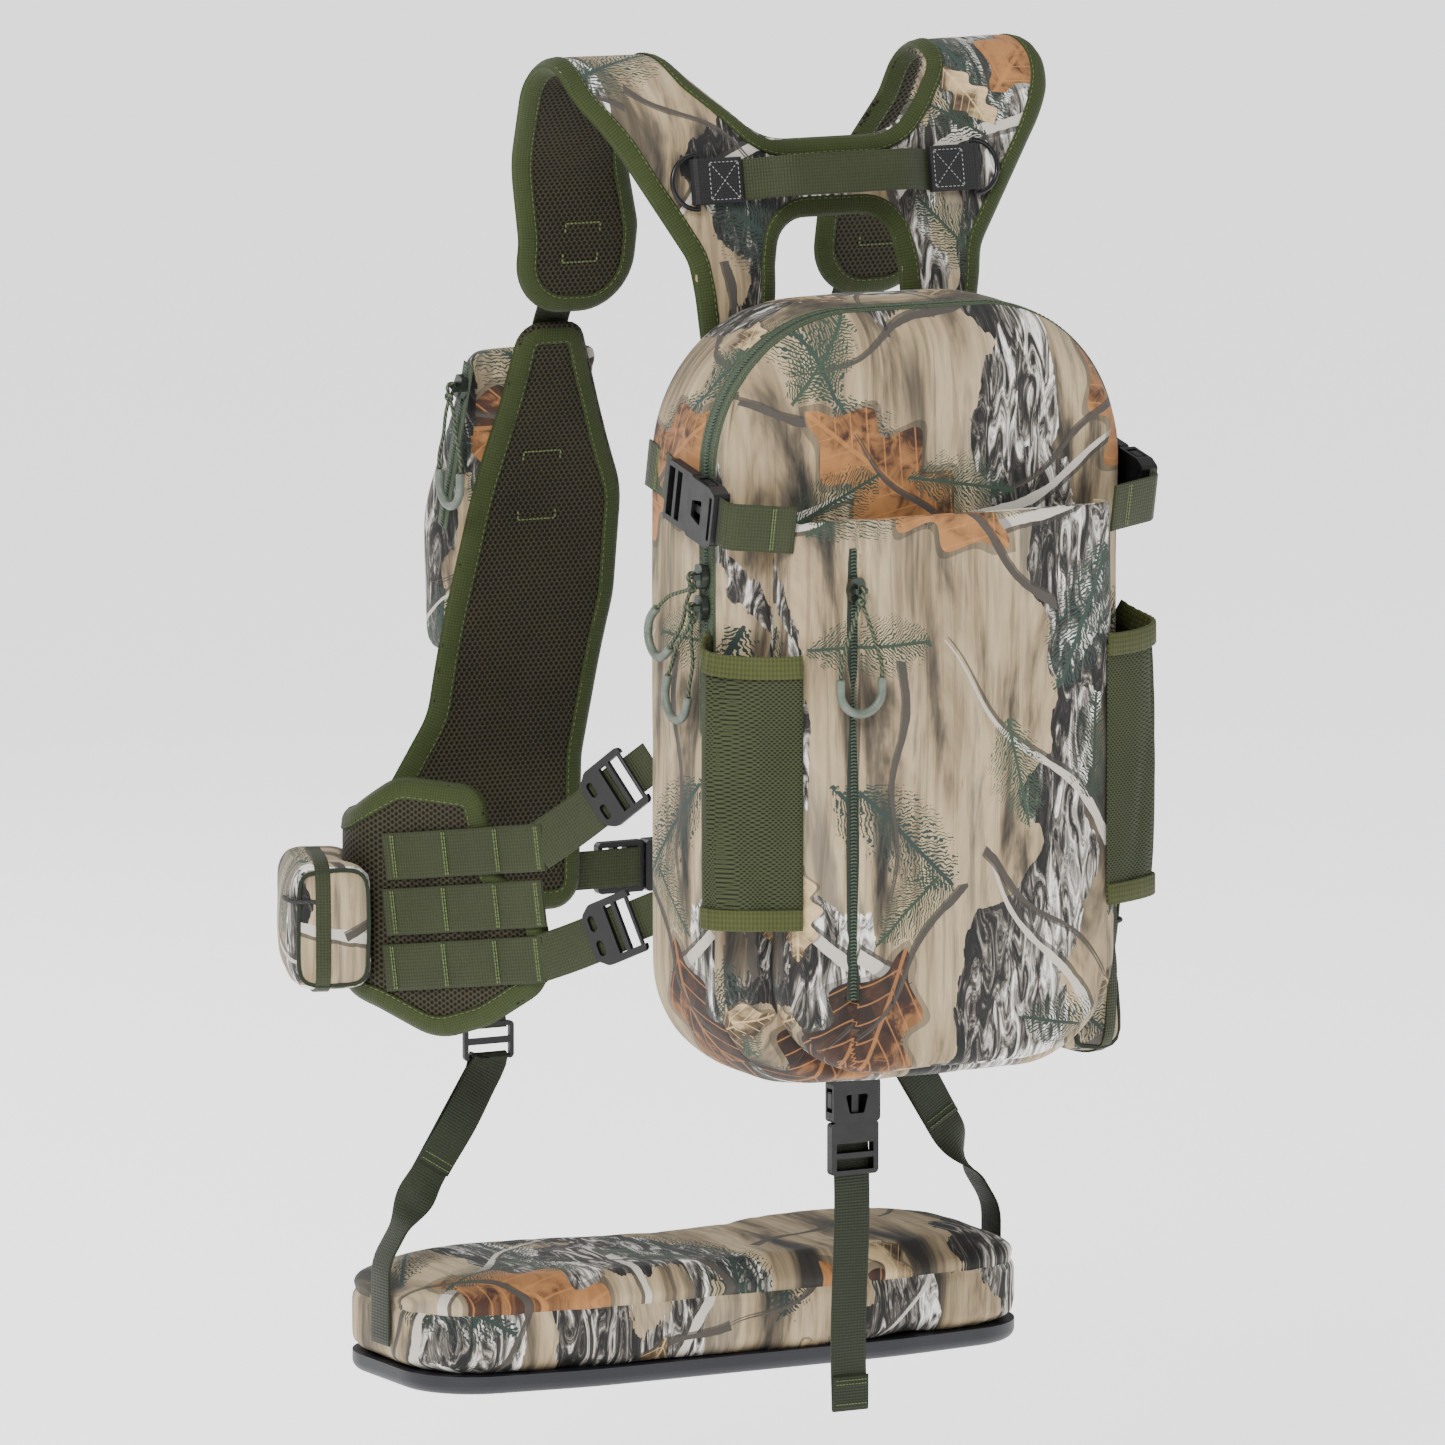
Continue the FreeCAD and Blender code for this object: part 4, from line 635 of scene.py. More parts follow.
crumpled(stash, 0.0028, lambda p: clamped((0.121 - p.z) / 0.03, 0.15) * clamped((-0.124 - p.y) / 0.01))
for vertex in stash.data.vertices:
    p = vertex.co
    if p.y < -0.143:
        p.y -= placket(p)
    for corner_x in (-0.088, 0.088):
        near = math.exp(-(math.hypot(p.x - corner_x, p.z + 0.198) / 0.042) ** 2)
        turn = math.atan2(p.z + 0.110, p.x - corner_x * 0.45)
        p.y += 0.0034 * near * max(0.0, math.sin(turn * 21)) * clamped((-0.130 - p.y) / 0.01)
stash.data.update()
walled(stash, 0.0016)
stash_rim_y, tucked = 0.145, 0.013


def on_stash(p, n):
    """The print runs on over the pocket's rim and is tucked under at the placket."""
    if abs(n.y) > 0.5:
        return p.x - (tucked if p.x > -0.069 else 0.0), p.z
    if abs(n.x) > abs(n.z):
        return p.x + math.copysign(abs(p.y + stash_rim_y), p.x), p.z
    return p.x, p.z + p.y + stash_rim_y


mapped(stash, on_stash)
stash.data.materials.append(print_on_bag)
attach(stash, "pack")
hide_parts("stash_pocket")

# ---- Zippers --------------------------------------------------------------------------------
# Grey-green polyester tape with a nylon coil down its middle: round the bag's front, down the
# stash pocket's face and down each vest pouch. Two rows of stitches hold the bag's long tape.


def ribbed_cloth(name, colour, along_pitch, across_pitch, rough, depth):
    """Woven tape or webbing: ribs across it, yarns along it, faded and darkened in places."""
    material, tree, shader = graph(name)
    uv = on_cloth(tree)
    per_band = 0.314
    ribs = put(tree, "TexWave", 1, settings={"bands_direction": "X"}, _0=uv, Scale=per_band / along_pitch,
               Distortion=0.25)
    yarns = put(tree, "TexWave", 1, settings={"bands_direction": "Y"}, _0=uv, Scale=per_band / across_pitch,
                Distortion=0.2)
    wear = put(tree, "TexNoise", 0, _0=on_object(tree), Scale=26.0, Detail=6.0, Roughness=0.62)
    weave = add(times(ribs, 0.6), times(yarns, 0.4))
    tone = add(times(weave, 0.55), times(wear, 0.48))
    worn = tuple(c * 1.38 + 0.006 for c in colour)
    finish_of(tree, shader, shades(tree, tone, [(0.12, tinted(colour, 0.50)), (0.42, colour), (0.85, worn)]),
              Roughness=rough, Specular_IOR_Level=0.3, Sheen_Weight=0.04)
    raised(tree, shader, weave, 0.6, depth)
    return material


def thread_of(name, colour):
    """Twisted sewing thread."""
    material, tree, shader = graph(name)
    twist = put(tree, "TexNoise", 0, _0=on_object(tree), Scale=900.0, Detail=2.0)
    finish_of(tree, shader, shades(tree, twist, [(0.3, tinted(colour, 0.6)), (0.7, tinted(colour, 1.3))]),
              Roughness=0.6)
    return material


def pill_tree():
    """Sets one small rounded shape on every point: its length along `ahead`, its height along
    `face`, both of them attributes of the points."""
    tree = bpy.data.node_groups.new("set_on_points", "GeometryNodeTree")
    tree.interface.new_socket("Geometry", in_out="OUTPUT", socket_type="NodeSocketGeometry")
    tree.interface.new_socket("Points", in_out="INPUT", socket_type="NodeSocketGeometry")
    for label in ("Length", "Width", "Height"):
        tree.interface.new_socket(label, in_out="INPUT", socket_type="NodeSocketFloat")
    tree.interface.new_socket("Finish", in_out="INPUT", socket_type="NodeSocketMaterial")
    new, link = tree.nodes.new, tree.links.new
    get, give = new("NodeGroupInput"), new("NodeGroupOutput")
    ball = new("GeometryNodeMeshUVSphere")
    for label, value in (("Segments", 6), ("Rings", 4), ("Radius", 0.5)):
        ball.inputs[label].default_value = value
    size = new("ShaderNodeCombineXYZ")
    for number, label in enumerate(("Height", "Width", "Length")):
        link(get.outputs[label], size.inputs[number])
    shape = new("GeometryNodeTransform")
    link(ball.outputs["Mesh"], shape.inputs["Geometry"])
    link(size.outputs[0], shape.inputs["Scale"])
    turns = []
    for label, axis in (("ahead", "Z"), ("face", "X")):
        named = new("GeometryNodeInputNamedAttribute")
        named.data_type = "FLOAT_VECTOR"
        named.inputs["Name"].default_value = label
        turn = new("FunctionNodeAlignRotationToVector")
        turn.axis = axis
        link(named.outputs["Attribute"], turn.inputs["Vector"])
        if turns:
            turn.pivot_axis = "Z"
            link(turns[0].outputs[0], turn.inputs["Rotation"])
        turns.append(turn)
    spread = new("GeometryNodeInstanceOnPoints")
    link(get.outputs["Points"], spread.inputs["Points"])
    link(shape.outputs[0], spread.inputs["Instance"])
    link(turns[1].outputs[0], spread.inputs["Rotation"])
    real, finish = new("GeometryNodeRealizeInstances"), new("GeometryNodeSetMaterial")
    link(spread.outputs[0], real.inputs[0])
    link(real.outputs[0], finish.inputs["Geometry"])
    link(get.outputs["Finish"], finish.inputs["Material"])
    link(finish.outputs[0], give.inputs[0])
    return tree


row_tree = pill_tree()


def in_a_row(name, spots, sizes, finish, body):
    """One mesh of many small rounded shapes at (place, ahead, face) spots."""
    mesh = bpy.data.meshes.new(name)
    mesh.from_pydata([tuple(s[0]) for s in spots], [], [])
    for index, label in ((1, "ahead"), (2, "face")):
        values = mesh.attributes.new(label, "FLOAT_VECTOR", "POINT")
        for number, spot in enumerate(spots):
            values.data[number].vector = spot[index]
    piece = shown(name, mesh)
    spread = piece.modifiers.new("row", "NODES")
    spread.node_group = row_tree
    keys = {item.name: item.identifier for item in row_tree.interface.items_tree if item.in_out == "INPUT"}
    for label, value in zip(("Length", "Width", "Height"), sizes):
        spread[keys[label]] = value
    spread[keys["Finish"]] = finish
    finished(piece)
    piece.data.shade_smooth()
    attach(piece, body)
    return piece


def spaced(line, face, pitch):
    """Spots at a pitch along a line; face is one direction or one for each point."""
    total = length_of(line)
    count = max(2, int(total / pitch))
    steady = not isinstance(face, list)
    spots, run, index = [], 0.0, 0
    for step in range(count):
        want = total * (step + 0.5) / count
        while index < len(line) - 2 and run + (line[index + 1] - line[index]).length < want:
            run += (line[index + 1] - line[index]).length
            index += 1
        ahead = (line[index + 1] - line[index]).normalized()
        spots.append((line[index] + ahead * (want - run), ahead, face if steady else face[index]))
    return spots


def rounded_off(mesh):
    """Turns every face outwards; the sides are shaded smooth and the two ends flat."""
    shell = bmesh.new()
    shell.from_mesh(mesh)
    bmesh.ops.recalc_face_normals(shell, faces=shell.faces)
    for face in shell.faces:
        face.smooth = len(face.verts) == 4
    shell.to_mesh(mesh)
    shell.free()


def strap(name, line, across, width, thickness, material, body, edge=0.35):
    """Woven strap along a line; across is its width's direction, or one for each point."""
    steady = not isinstance(across, list)
    half, thin = width / 2, thickness / 2
    selvedge, corner, dip = half * 0.93, half * 0.985, thin * (1 - edge * 0.25)
    section = [(-half, 0), (-corner, thin * 0.8), (-selvedge, thin), (-half * 0.5, dip),
               (0, thin * (1 - edge * 0.3)), (half * 0.5, dip), (selvedge, thin), (corner, thin * 0.8),
               (half, 0), (corner, -thin * 0.8), (selvedge, -thin), (0, -thin), (-selvedge, -thin),
               (-corner, -thin * 0.8)]
    verts, stations, run = [], [], 0.0
    for index, place in enumerate(line):
        ahead = way_at(line, index).normalized()
        wide = (across if steady else across[index]).normalized()
        up = ahead.cross(wide).normalized()
        wide = up.cross(ahead)
        if index:
            run += (place - line[index - 1]).length
        stations.append(run)
        verts += [tuple(place + wide * a + up * b) for a, b in section]
    ring = len(section)
    faces = faces_between(len(line), ring, True)
    faces += [tuple(range(ring)), tuple((len(line) - 1) * ring + c for c in range(ring))]
    mesh = bpy.data.meshes.new(name)
    mesh.from_pydata(verts, [], faces)
    layer = cloth_layer(mesh)
    for loop in mesh.loops:
        station, place = divmod(loop.vertex_index, ring)
        layer.data[loop.index].uv = (stations[station], section[place][0] + section[place][1])
    piece = shown(name, mesh)
    rounded_off(mesh)
    mesh.materials.append(material)
    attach(piece, body)
    return piece


def on_line(corners, level, plane):
    """3-D points along a rounded open line drawn in a plane."""
    flat = rounded_points(corners, closed=False, step=0.003)
    flat = evenly(flat, max(4, int(length_of(flat) / 0.004)), closed=False)
    if plane == "xz":
        return [Vector((a, level, b)) for a, b in flat]
    return [Vector((level, a, b)) for a, b in flat]


zip_tape = ribbed_cloth("zipper_tape_cloth", (0.036, 0.050, 0.028), 0.0016, 0.0013, 0.75, 0.0003)
coil_nylon = thread_of("zipper_coil_nylon", (0.048, 0.074, 0.050))
# Painted shade: the zipper tape darkened for the stash zipper, which lies in the placket's fold, so its tape
# is coloured as if in shadow.
tape_in_painted_shade = ribbed_cloth("zipper_tape_painted_shade", (0.016, 0.022, 0.014), 0.0016, 0.0013, 0.8, 0.0003)
green_thread = thread_of("olive_thread", (0.085, 0.115, 0.036))
black_thread = thread_of("black_thread", (0.012, 0.012, 0.013))

arch_corners = [(-half_width, zip_end, 0), (-half_width, crown, 0.095),
                (half_width, crown, 0.095), (half_width, zip_end, 0)]
arch = evenly(rounded_points(arch_corners, closed=False), 320, closed=False)
tape_y = (wall_y + panel_y) / 2
arch_out = []
for index in range(len(arch)):
    way = way_at(arch, index)
    arch_out.append(Vector((-way.y, 0, way.x)).normalized())
zip_line = [Vector((p.x, tape_y, p.y)) for p in arch]
coil_pitch, coil_half, coil_lean = 0.0021, 0.00085, 0.35
main_tape = strap("main_zipper_tape", [p - o * 0.0004 for p, o in zip(zip_line, arch_out)],
                  Vector((0, 1, 0)), 0.0205, 0.0014, zip_tape, "pack", 0.0)
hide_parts("zipper_tapes")
coil_spots, rim_spots = [], []


def coiled(line, face, across, lift=Vector()):
    """The coil's turns: two leaning rows of them along the middle of a tape."""
    for half in (-1, 1):
        for place, ahead, outside in spaced(line, face, coil_pitch):
            coil_spots.append((place + across * half * coil_half + lift,
                               (across + ahead * coil_lean * half).normalized(), outside))


coiled([p + o * 0.0008 for p, o in zip(zip_line, arch_out)], arch_out, Vector((0, 1, 0)))
for side in (-1, 1):
    for place, ahead, face in spaced([p + o * 0.0006 for p, o in zip(zip_line, arch_out)], arch_out, 0.0034):
        rim_spots.append((place + Vector((0, side * 0.0078, 0)), ahead, face))
stash_line = [Vector((-0.072, -0.1512, 0.100 - 0.278 * k / 70)) for k in range(71)]
front = Vector((0, -1, 0))
# The stash zipper's tape takes the darkened tape colour, painted shade for the fold it lies in.
strap("stash_zipper_tape", [p + Vector((0, 0.0012, 0)) for p in stash_line], Vector((1, 0, 0)), 0.0086,
      0.0012, tape_in_painted_shade, "pack", 0.0)
coiled(stash_line, front, Vector((1, 0, 0)), Vector((0, 0.0002, 0)))
both_sides = ((-1, "left"), (1, "right"))
vest_start, vest_down = Vector((0.156, 0.197, 0.180)), Vector((0, 0.32777, -0.94476))
vest_wide = Vector((0, 0.94476, 0.32777))
vest_zip_x, vest_zip_length = 0.1568, 0.112
for side, label in both_sides:
    out = Vector((side, 0, 0))
    top = Vector((side * vest_zip_x, vest_start.y, vest_start.z))
    run = [top + vest_down * (vest_zip_length * k / 30) for k in range(31)]
    strap(f"vest_zipper_tape_{label}", run, vest_wide, 0.0125, 0.0012, zip_tape, "pack", 0.0)
    coiled([p + out * 0.0012 for p in run], out, vest_wide)
in_a_row("zipper_coils", coil_spots, (0.0030, 0.00115, 0.0015), coil_nylon, "pack")
in_a_row("zipper_stitches", rim_spots, (0.0026, 0.0006, 0.0006), green_thread, "pack")
placket_spots = spaced([Vector((-0.0455, -0.1531, 0.108 - 0.30 * k / 60)) for k in range(61)], front, 0.0042)
in_a_row("placket_stitches", placket_spots, (0.0030, 0.0007, 0.0007), black_thread, "pack")

# ---- Side pockets ---------------------------------------------------------------------------
# Knitted mesh panels that bulge out of the corners beside the stash pocket, gathered into
# ribbed elastic binding along the top and the bottom.


def knit_mesh(name, yarn, hole_shade, pitch, rough=0.75, yarn_highlight=None):
    """Mesh cloth: rows of holes, every other row shifted, in a raised knit; the holes are painted near-black
    as shade seen through them, and the yarn between them is painted paler as a highlight.
    """
    material, tree, shader = graph(name)
    uv = on_cloth(tree)
    grids = []
    for shift in (0.0, 0.5):
        scaled = put(tree, "Mapping", _0=uv, Scale=(1 / pitch, 1 / (pitch * 1.5), 1),
                     Location=(shift, shift, 0))
        centred = vectors(tree, "SUBTRACT", vectors(tree, "FRACTION", scaled), (0.5, 0.5, 0))
        flat = vectors(tree, "MULTIPLY", centred, (1, 1.5, 0))
        grids.append(vectors(tree, "LENGTH", flat, outlet=1))
    near = worked_by("MINIMUM")(*grids)
    wear = put(tree, "TexNoise", 0, _0=on_object(tree), Scale=18.0, Detail=5.0, Roughness=0.6)
    tone = add(near, times(minus(wear, 0.5), 0.16))
    # Painted shade in the holes, the yarn colour around them, and a paler painted highlight on the yarn
    # between them.
    colour = shades(tree, tone, [(0.20, hole_shade), (0.30, yarn), (0.46, yarn_highlight or tinted(yarn, 1.55))])
    finish_of(tree, shader, colour, Roughness=rough, Specular_IOR_Level=0.2, Sheen_Weight=0.02)
    raised(tree, shader, near, 0.9, pitch * 0.3)
    return material


# The second colour is painted shade for the holes; the yarn between them gets the default paler painted
# highlight.
pocket_mesh = knit_mesh("side_pocket_mesh", (0.027, 0.033, 0.013), (0.003, 0.005, 0.002), 0.0019)
elastic = ribbed_cloth("ribbed_elastic", (0.038, 0.044, 0.008), 0.0024, 0.003, 0.75, 0.0007)


def pocket_plan(share, puff=0.0):
    """Place in plan from the bag's side to the stash pocket's corner; puff swells it."""
    rear, bulge, ahead = Vector((0.1405, -0.096)), Vector((0.1535, -0.1235)), Vector((0.1060, -0.1495))
    pull = bulge * 2 - (rear + ahead) / 2
    place = rear * (1 - share) ** 2 + pull * 2 * share * (1 - share) + ahead * share ** 2
    return place + Vector((0.7, -0.7)) * puff * math.sin(math.pi * share)


def gape(share):
    """How much higher than its middle the pocket's mouth is, where it springs open."""
    return 0.009 * math.exp(-share * 7) - 0.006 * share + 0.002 * math.exp(-(1 - share) * 9)


around, upward = 36, 40
pocket_foot, pocket_height = -0.1315, 0.166
pocket_girth = length_of([pocket_plan(c / around) for c in range(around + 1)])
for side, label in both_sides:
    rows = []
    for k in range(upward + 1):
        height = k / upward
        row = []
        for c in range(around + 1):
            share = c / around
            z = pocket_foot + pocket_height * height + height ** 3 * gape(share)
            puff = -0.0030 + 0.0034 * math.sin(math.pi * height) ** 0.7
            puff += 0.0011 * noise.noise(Vector((share * 5, height * 3, side * 4)))
            puff += 0.0012 * noise.noise(Vector((share * 14, height * 3.5, side * 9)))
            puff -= 0.0016 * max(0.0, math.sin(share * 9 + height * 3)) ** 6
            x, y = pocket_plan(share, puff)
            row.append(Vector((x * side, y, z)))
        rows.append(row)
    pocket = sheet_of(f"side_pocket_mesh_{label}", rows)
    mapped(pocket, lambda p, n: (abs(p.x) - p.y, p.z))
    outward(pocket)
    walled(pocket, 0.0009, 0, 0.0)
    pocket.data.materials.append(pocket_mesh)
    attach(pocket, "pack")
    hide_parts(f"side_pocket_{label}")
    for level, low, high in (("top", 0.0265, 0.0405), ("foot", -0.1325, -0.1195)):
        line = []
        for c in range(49):
            share = c / 48
            x, y = pocket_plan(share, -0.0016)
            slope = gape(share) if level == "top" else 0.0
            ruffle = 0.0005 * math.sin(c * 1.9)
            line.append(Vector(((x + 0.0009 + ruffle) * side, y - 0.0009, (low + high) / 2 + slope)))
        strap(f"side_pocket_{level}_trim_{label}", line, Vector((0, 0, 1)), high - low, 0.0026, elastic,
              "pack")

# ---- Shoulder yoke --------------------------------------------------------------------------
# Foam pad in one piece over both shoulders: printed cloth outside, brown spacer mesh against
# the wearer. Folded green tape binds its whole edge, sewn through from the outside.


def pad_surface(corners, plane):
    """Finds, for a place near a curved pad, its level, how far along and off the pad's face it
    is, and which way that face looks."""
    line = rounded_points(corners, closed=False, step=0.002)
    length = length_of(line)
    line = evenly(line, int(length / 0.001), closed=False)
    tree = KDTree(len(line))
    for index, point in enumerate(line):
        tree.insert((point.x, point.y, 0), index)
    tree.balance()
    step = length / (len(line) - 1)

    def locate(p):
        a, b, level = (p.y, p.z, p.x) if plane == "yz" else (p.x, p.y, p.z)
        _, index, _ = tree.find((a, b, 0))
        way = way_at(line, index).normalized()
        off = Vector((a, b)) - line[index]
        normal = Vector((-way.y, way.x))
        face = Vector((0, normal.x, normal.y)) if plane == "yz" else Vector((normal.x, normal.y, 0))
        return level, index * step + off.dot(way), off.dot(normal), face

    return locate


def welded(name, node_names, middle_open=False):
    """One joined copy of CAD nodes; middle_open drops the walls where two halves meet."""
    shell = bmesh.new()
    for node in node_names:
        shell.from_mesh(nodes[node].data)
    bmesh.ops.remove_doubles(shell, verts=shell.verts, dist=2e-5)
    if middle_open:
        doomed = [f for f in shell.faces if all(abs(v.co.x) < 5e-5 for v in f.verts)]
        bmesh.ops.delete(shell, geom=doomed, context="FACES")
    mesh = bpy.data.meshes.new(name)
    shell.to_mesh(mesh)
    shell.free()
    return shown(name, mesh)


def rims(piece, locate, middle):
    """The pad's outline as closed lines on its middle surface, from the edge of its face."""
    shell = bmesh.new()
    shell.from_mesh(piece.data)
    shell.faces.ensure_lookup_table()
    skin = {f.index: abs(f.normal.dot(locate(f.calc_center_median())[3])) > 0.7 for f in shell.faces}
    links = {}
    for edge in shell.edges:
        beside = {skin[f.index] for f in edge.link_faces}
        centre = (edge.verts[0].co + edge.verts[1].co) / 2
        if len(edge.link_faces) == len(beside) == 2 and locate(centre)[2] > middle:
            for a, b in (edge.verts, reversed(edge.verts)):
                links.setdefault(a.index, []).append(b.index)
    shell.verts.ensure_lookup_table()
    loops, seen = [], set()
    for start in links:
        if start in seen:
            continue
        loop, here, before = [], start, None
        while here is not None and here not in seen:
            seen.add(here)
            loop.append(shell.verts[here].co.copy())
            onward = [n for n in links[here] if n != before and n not in seen]
            before, here = here, (onward[0] if onward else None)
        if len(loop) > 12:
            loops.append(loop)
    shell.free()
    lines = []
    for loop in loops:
        dropped = []
        for p in loop:
            _, _, off, face = locate(p)
            dropped.append(p - face * (off - middle))
        total = length_of(dropped + dropped[:1])
        if total > 0.2:
            lines.append(evenly(dropped, int(total / 0.004)))
    return lines


def puffed(reach, at_rim):
    """Share of the pad's thickness at a distance from its rim."""
    def share(distance):
        return at_rim + (1 - at_rim) * (1 - (1 - clamped(distance / reach)) ** 2.6)
    return share


def remeshed(piece, cell):
    """Gives a form even small faces all over."""
    grid = piece.modifiers.new("grid", "REMESH")
    grid.mode = "VOXEL"
    grid.voxel_size = cell
    return finished(piece)


def smoothed(piece):
    """Takes the small steps out of a form."""
    soft = piece.modifiers.new("soft", "SMOOTH")
    soft.factor = 0.5
    soft.iterations = 3
    return finished(piece)


def padded_form(name, rough, locate, middle, lines, share, cell, dimples=None):
    """Fine mesh of a pad, thinned towards its rim, with soft uneven padding."""
    remeshed(rough, cell)
    rough.name = name
    tree = KDTree(sum(len(line) for line in lines))
    for number, p in enumerate(p for line in lines for p in line):
        tree.insert(p, number)
    tree.balance()
    for vertex in rough.data.vertices:
        level, _, off, face = locate(vertex.co)
        gap = off - middle
        _, _, distance = tree.find(vertex.co - face * gap)
        thin = share(distance)
        swell = noise.noise(vertex.co * 16) * 0.0006 + noise.noise(vertex.co * 45) * 0.0002
        dip = dimples(level, distance) if dimples else 0.0
        vertex.co += face * (gap * thin - gap + (-1 if gap < 0 else 1) * thin * (swell - dip))
    smoothed(rough).data.shade_smooth()


def bound_edge(name, line, locate, half, share, wide, body, slot):
    """Folded tape round a pad's rim, and the spots of the stitches that hold it."""
    flat = [locate(p)[:2] for p in line]
    area = sum(a[0] * b[1] - b[0] * a[1] for a, b in zip(flat, flat[1:] + flat[:1]))
    rows, stitches, run = [], [[], []], 0.0
    count = len(line)
    for index in range(count + 1):
        place, here = line[index % count], flat[index % count]
        way = (line[(index + 2) % count] - line[(index - 2) % count]).normalized()
        face = locate(place)[3]
        inward = face.cross(way).normalized()
        probe = locate(place + inward * 0.003)
        ahead, behind = flat[(index + 2) % count], flat[(index - 2) % count]
        turn = (ahead[0] - behind[0]) * (probe[1] - here[1]) - (ahead[1] - behind[1]) * (probe[0] - here[0])
        if turn * area < 0:
            inward = -inward
        if index:
            run += (place - line[index - 1]).length
        wave = 0.00035 * noise.noise(place * 55) + 0.0003 * noise.noise(place * 140)
        lean = wide * (1 + 0.05 * noise.noise(place * 30))
        row = []
        for x, side in ((1.0, 1), (0.96, 1), (0.7, 1), (0.4, 1), (0.15, 1), (0.0, 0),
                        (0.15, -1), (0.4, -1), (0.7, -1), (0.96, -1), (1.0, -1)):
            x_in = lean * x - (0.0012 if side == 0 else 0.0)
            proud = 0.0001 if x == 1.0 else 0.0007 + wave
            height = side * (half * share(max(0.0, x_in)) * (0.75 if x == 0.15 else 1.0) + proud)
            row.append(place + inward * x_in + face * height)
        rows.append(row)
        if index < count:
            x_in = lean - 0.0013
            for number, side in enumerate((1, -1)):
                lift = face * side * (half * share(x_in) + 0.0010)
                stitches[number].append((place + inward * x_in + lift, face * side))
    tape = sheet_of(name, rows)
    outward(tape)
    walled(tape, 0.0006, 0, 0.0)
    mesh = tape.data
    layer = cloth_layer(mesh)
    tree = KDTree(count)
    for index, p in enumerate(line):
        tree.insert(p, index)
    tree.balance()
    step = run / count
    for face in mesh.polygons:
        _, index, _ = tree.find(face.center)
        way = (line[(index + 1) % count] - line[(index - 1) % count]).normalized()
        for loop in face.loop_indices:
            off = mesh.vertices[mesh.loops[loop].vertex_index].co - line[index]
            layer.data[loop].uv = (index * step + off.dot(way), (off - way * off.dot(way)).length)
    mesh.shade_smooth()
    mesh.materials.append(binding_tape)
    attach(tape, body)
    spots = []
    for row in stitches:
        places, faces = zip(*row, row[0])
        spots += spaced(places, list(faces), 0.0042)
    return spots


binding_tape = ribbed_cloth("green_binding", (0.020, 0.029, 0.0035), 0.0018, 0.0016, 0.78, 0.0004)
# The second colour is painted shade for the holes, the last a painted highlight on the yarn between them.
brown_mesh = knit_mesh("brown_spacer_mesh", (0.011, 0.009, 0.004), (0.0006, 0.0005, 0.0004), 0.0036, 0.7,
                       (0.040, 0.034, 0.016))
print_on_yoke = woodland_cloth("woodland_cloth_yoke", (1.37, 0.83))


def clothed(mesh, *materials):
    """Gives a mesh its cloths or finishes."""
    mesh.materials.clear()
    for material in materials:
        mesh.materials.append(material)


def two_faced(piece, locate, middle, outside, inside):
    """Outer cloth on one face of the pad and mesh on the other, both laid flat."""
    mesh = piece.data
    clothed(mesh, outside, inside)
    for face in mesh.polygons:
        face.material_index = 0 if locate(face.center)[2] > middle else 1
    places = [locate(v.co)[:2] for v in mesh.vertices]
    layer = cloth_layer(mesh)
    for loop in mesh.loops:
        layer.data[loop.index].uv = places[loop.vertex_index]


def signed_middle(piece, locate):
    """How far the pad's middle surface is off its drawn line, and half its thickness."""
    offs = [locate(v.co)[2] for v in piece.data.vertices]
    return (min(offs) + max(offs)) / 2, (max(offs) - min(offs)) / 2


def pad_of(name, node_names, locate, share, cell, outside, inside, middle_open=False, dimples=None):
    """Pad in the form of CAD nodes; returns it, its rims' lines and half its thickness."""
    pad = welded(name, node_names, middle_open)
    middle, half = signed_middle(pad, locate)
    lines = rims(pad, locate, middle)
    padded_form(name, pad, locate, middle, lines, share, cell, dimples)
    two_faced(pad, locate, middle, outside, inside)
    return pad, lines, half


def bound(name, lines, *measures):
    """Binds all rims of a pad; returns the spots of the stitches."""
    spots = []
    for number, line in enumerate(lines):
        spots += bound_edge(f"{name}_{number}", line, *measures, "pack", "webbing")
    return spots


yoke_line = [(-0.002, 0.202, 0), (-0.002, 0.242, 0.080), (0.016, 0.344, 0.060), (0.075, 0.408, 0.042),
             (0.143, 0.312, 0.080), (0.165, 0.211, 0)]
on_yoke = pad_surface(yoke_line, "yz")
yoke_share = puffed(0.020, 0.42)
yoke, lines, half = pad_of("yoke_pad", ["shoulder_yoke_left", "shoulder_yoke_right"], on_yoke, yoke_share,
                           0.0032, print_on_yoke, brown_mesh, middle_open=True)
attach(yoke, "pack")
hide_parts("shoulder_yoke_left", "shoulder_yoke_right")
edge_stitches = bound("yoke_binding", lines, on_yoke, half, yoke_share, 0.0105)
rim_stitch, bar_stitch = (0.0030, 0.0006, 0.0005), (0.0024, 0.0013, 0.0012)
in_a_row("yoke_binding_stitches", edge_stitches, rim_stitch, green_thread, "pack")


def skin_of(piece):
    """Search tree of a piece's surface."""
    return BVHTree.FromPolygons([v.co for v in piece.data.vertices],
                                [f.vertices[:] for f in piece.data.polygons])


def sewn_marks(piece, lines):
    """Stitch spots on a piece's surface, found forwards of lines drawn behind the pack."""
    skin, spots = skin_of(piece), []
    for line in lines:
        for start, end in zip(line, line[1:]):
            steps = max(2, int((end - start).length / 0.0026))
            for step in range(steps):
                hit, normal, _, _ = skin.ray_cast(start.lerp(end, (step + 0.5) / steps), Vector((0, 1, 0)))
                if hit is not None:
                    spots.append((hit + normal * 0.0004, (end - start).normalized(), normal))
    return spots


def bracket(x, low, high, half):
    """Two facing square hooks, as bar tacks that hold a strap behind the mesh."""
    hooks = []
    for level, tip in ((high, high - 0.006), (low, low + 0.006)):
        hooks.append([Vector((across, 0.10, z)) for across, z in
                      ((x - half, tip), (x - half, level), (x + half, level), (x + half, tip))])
    return hooks


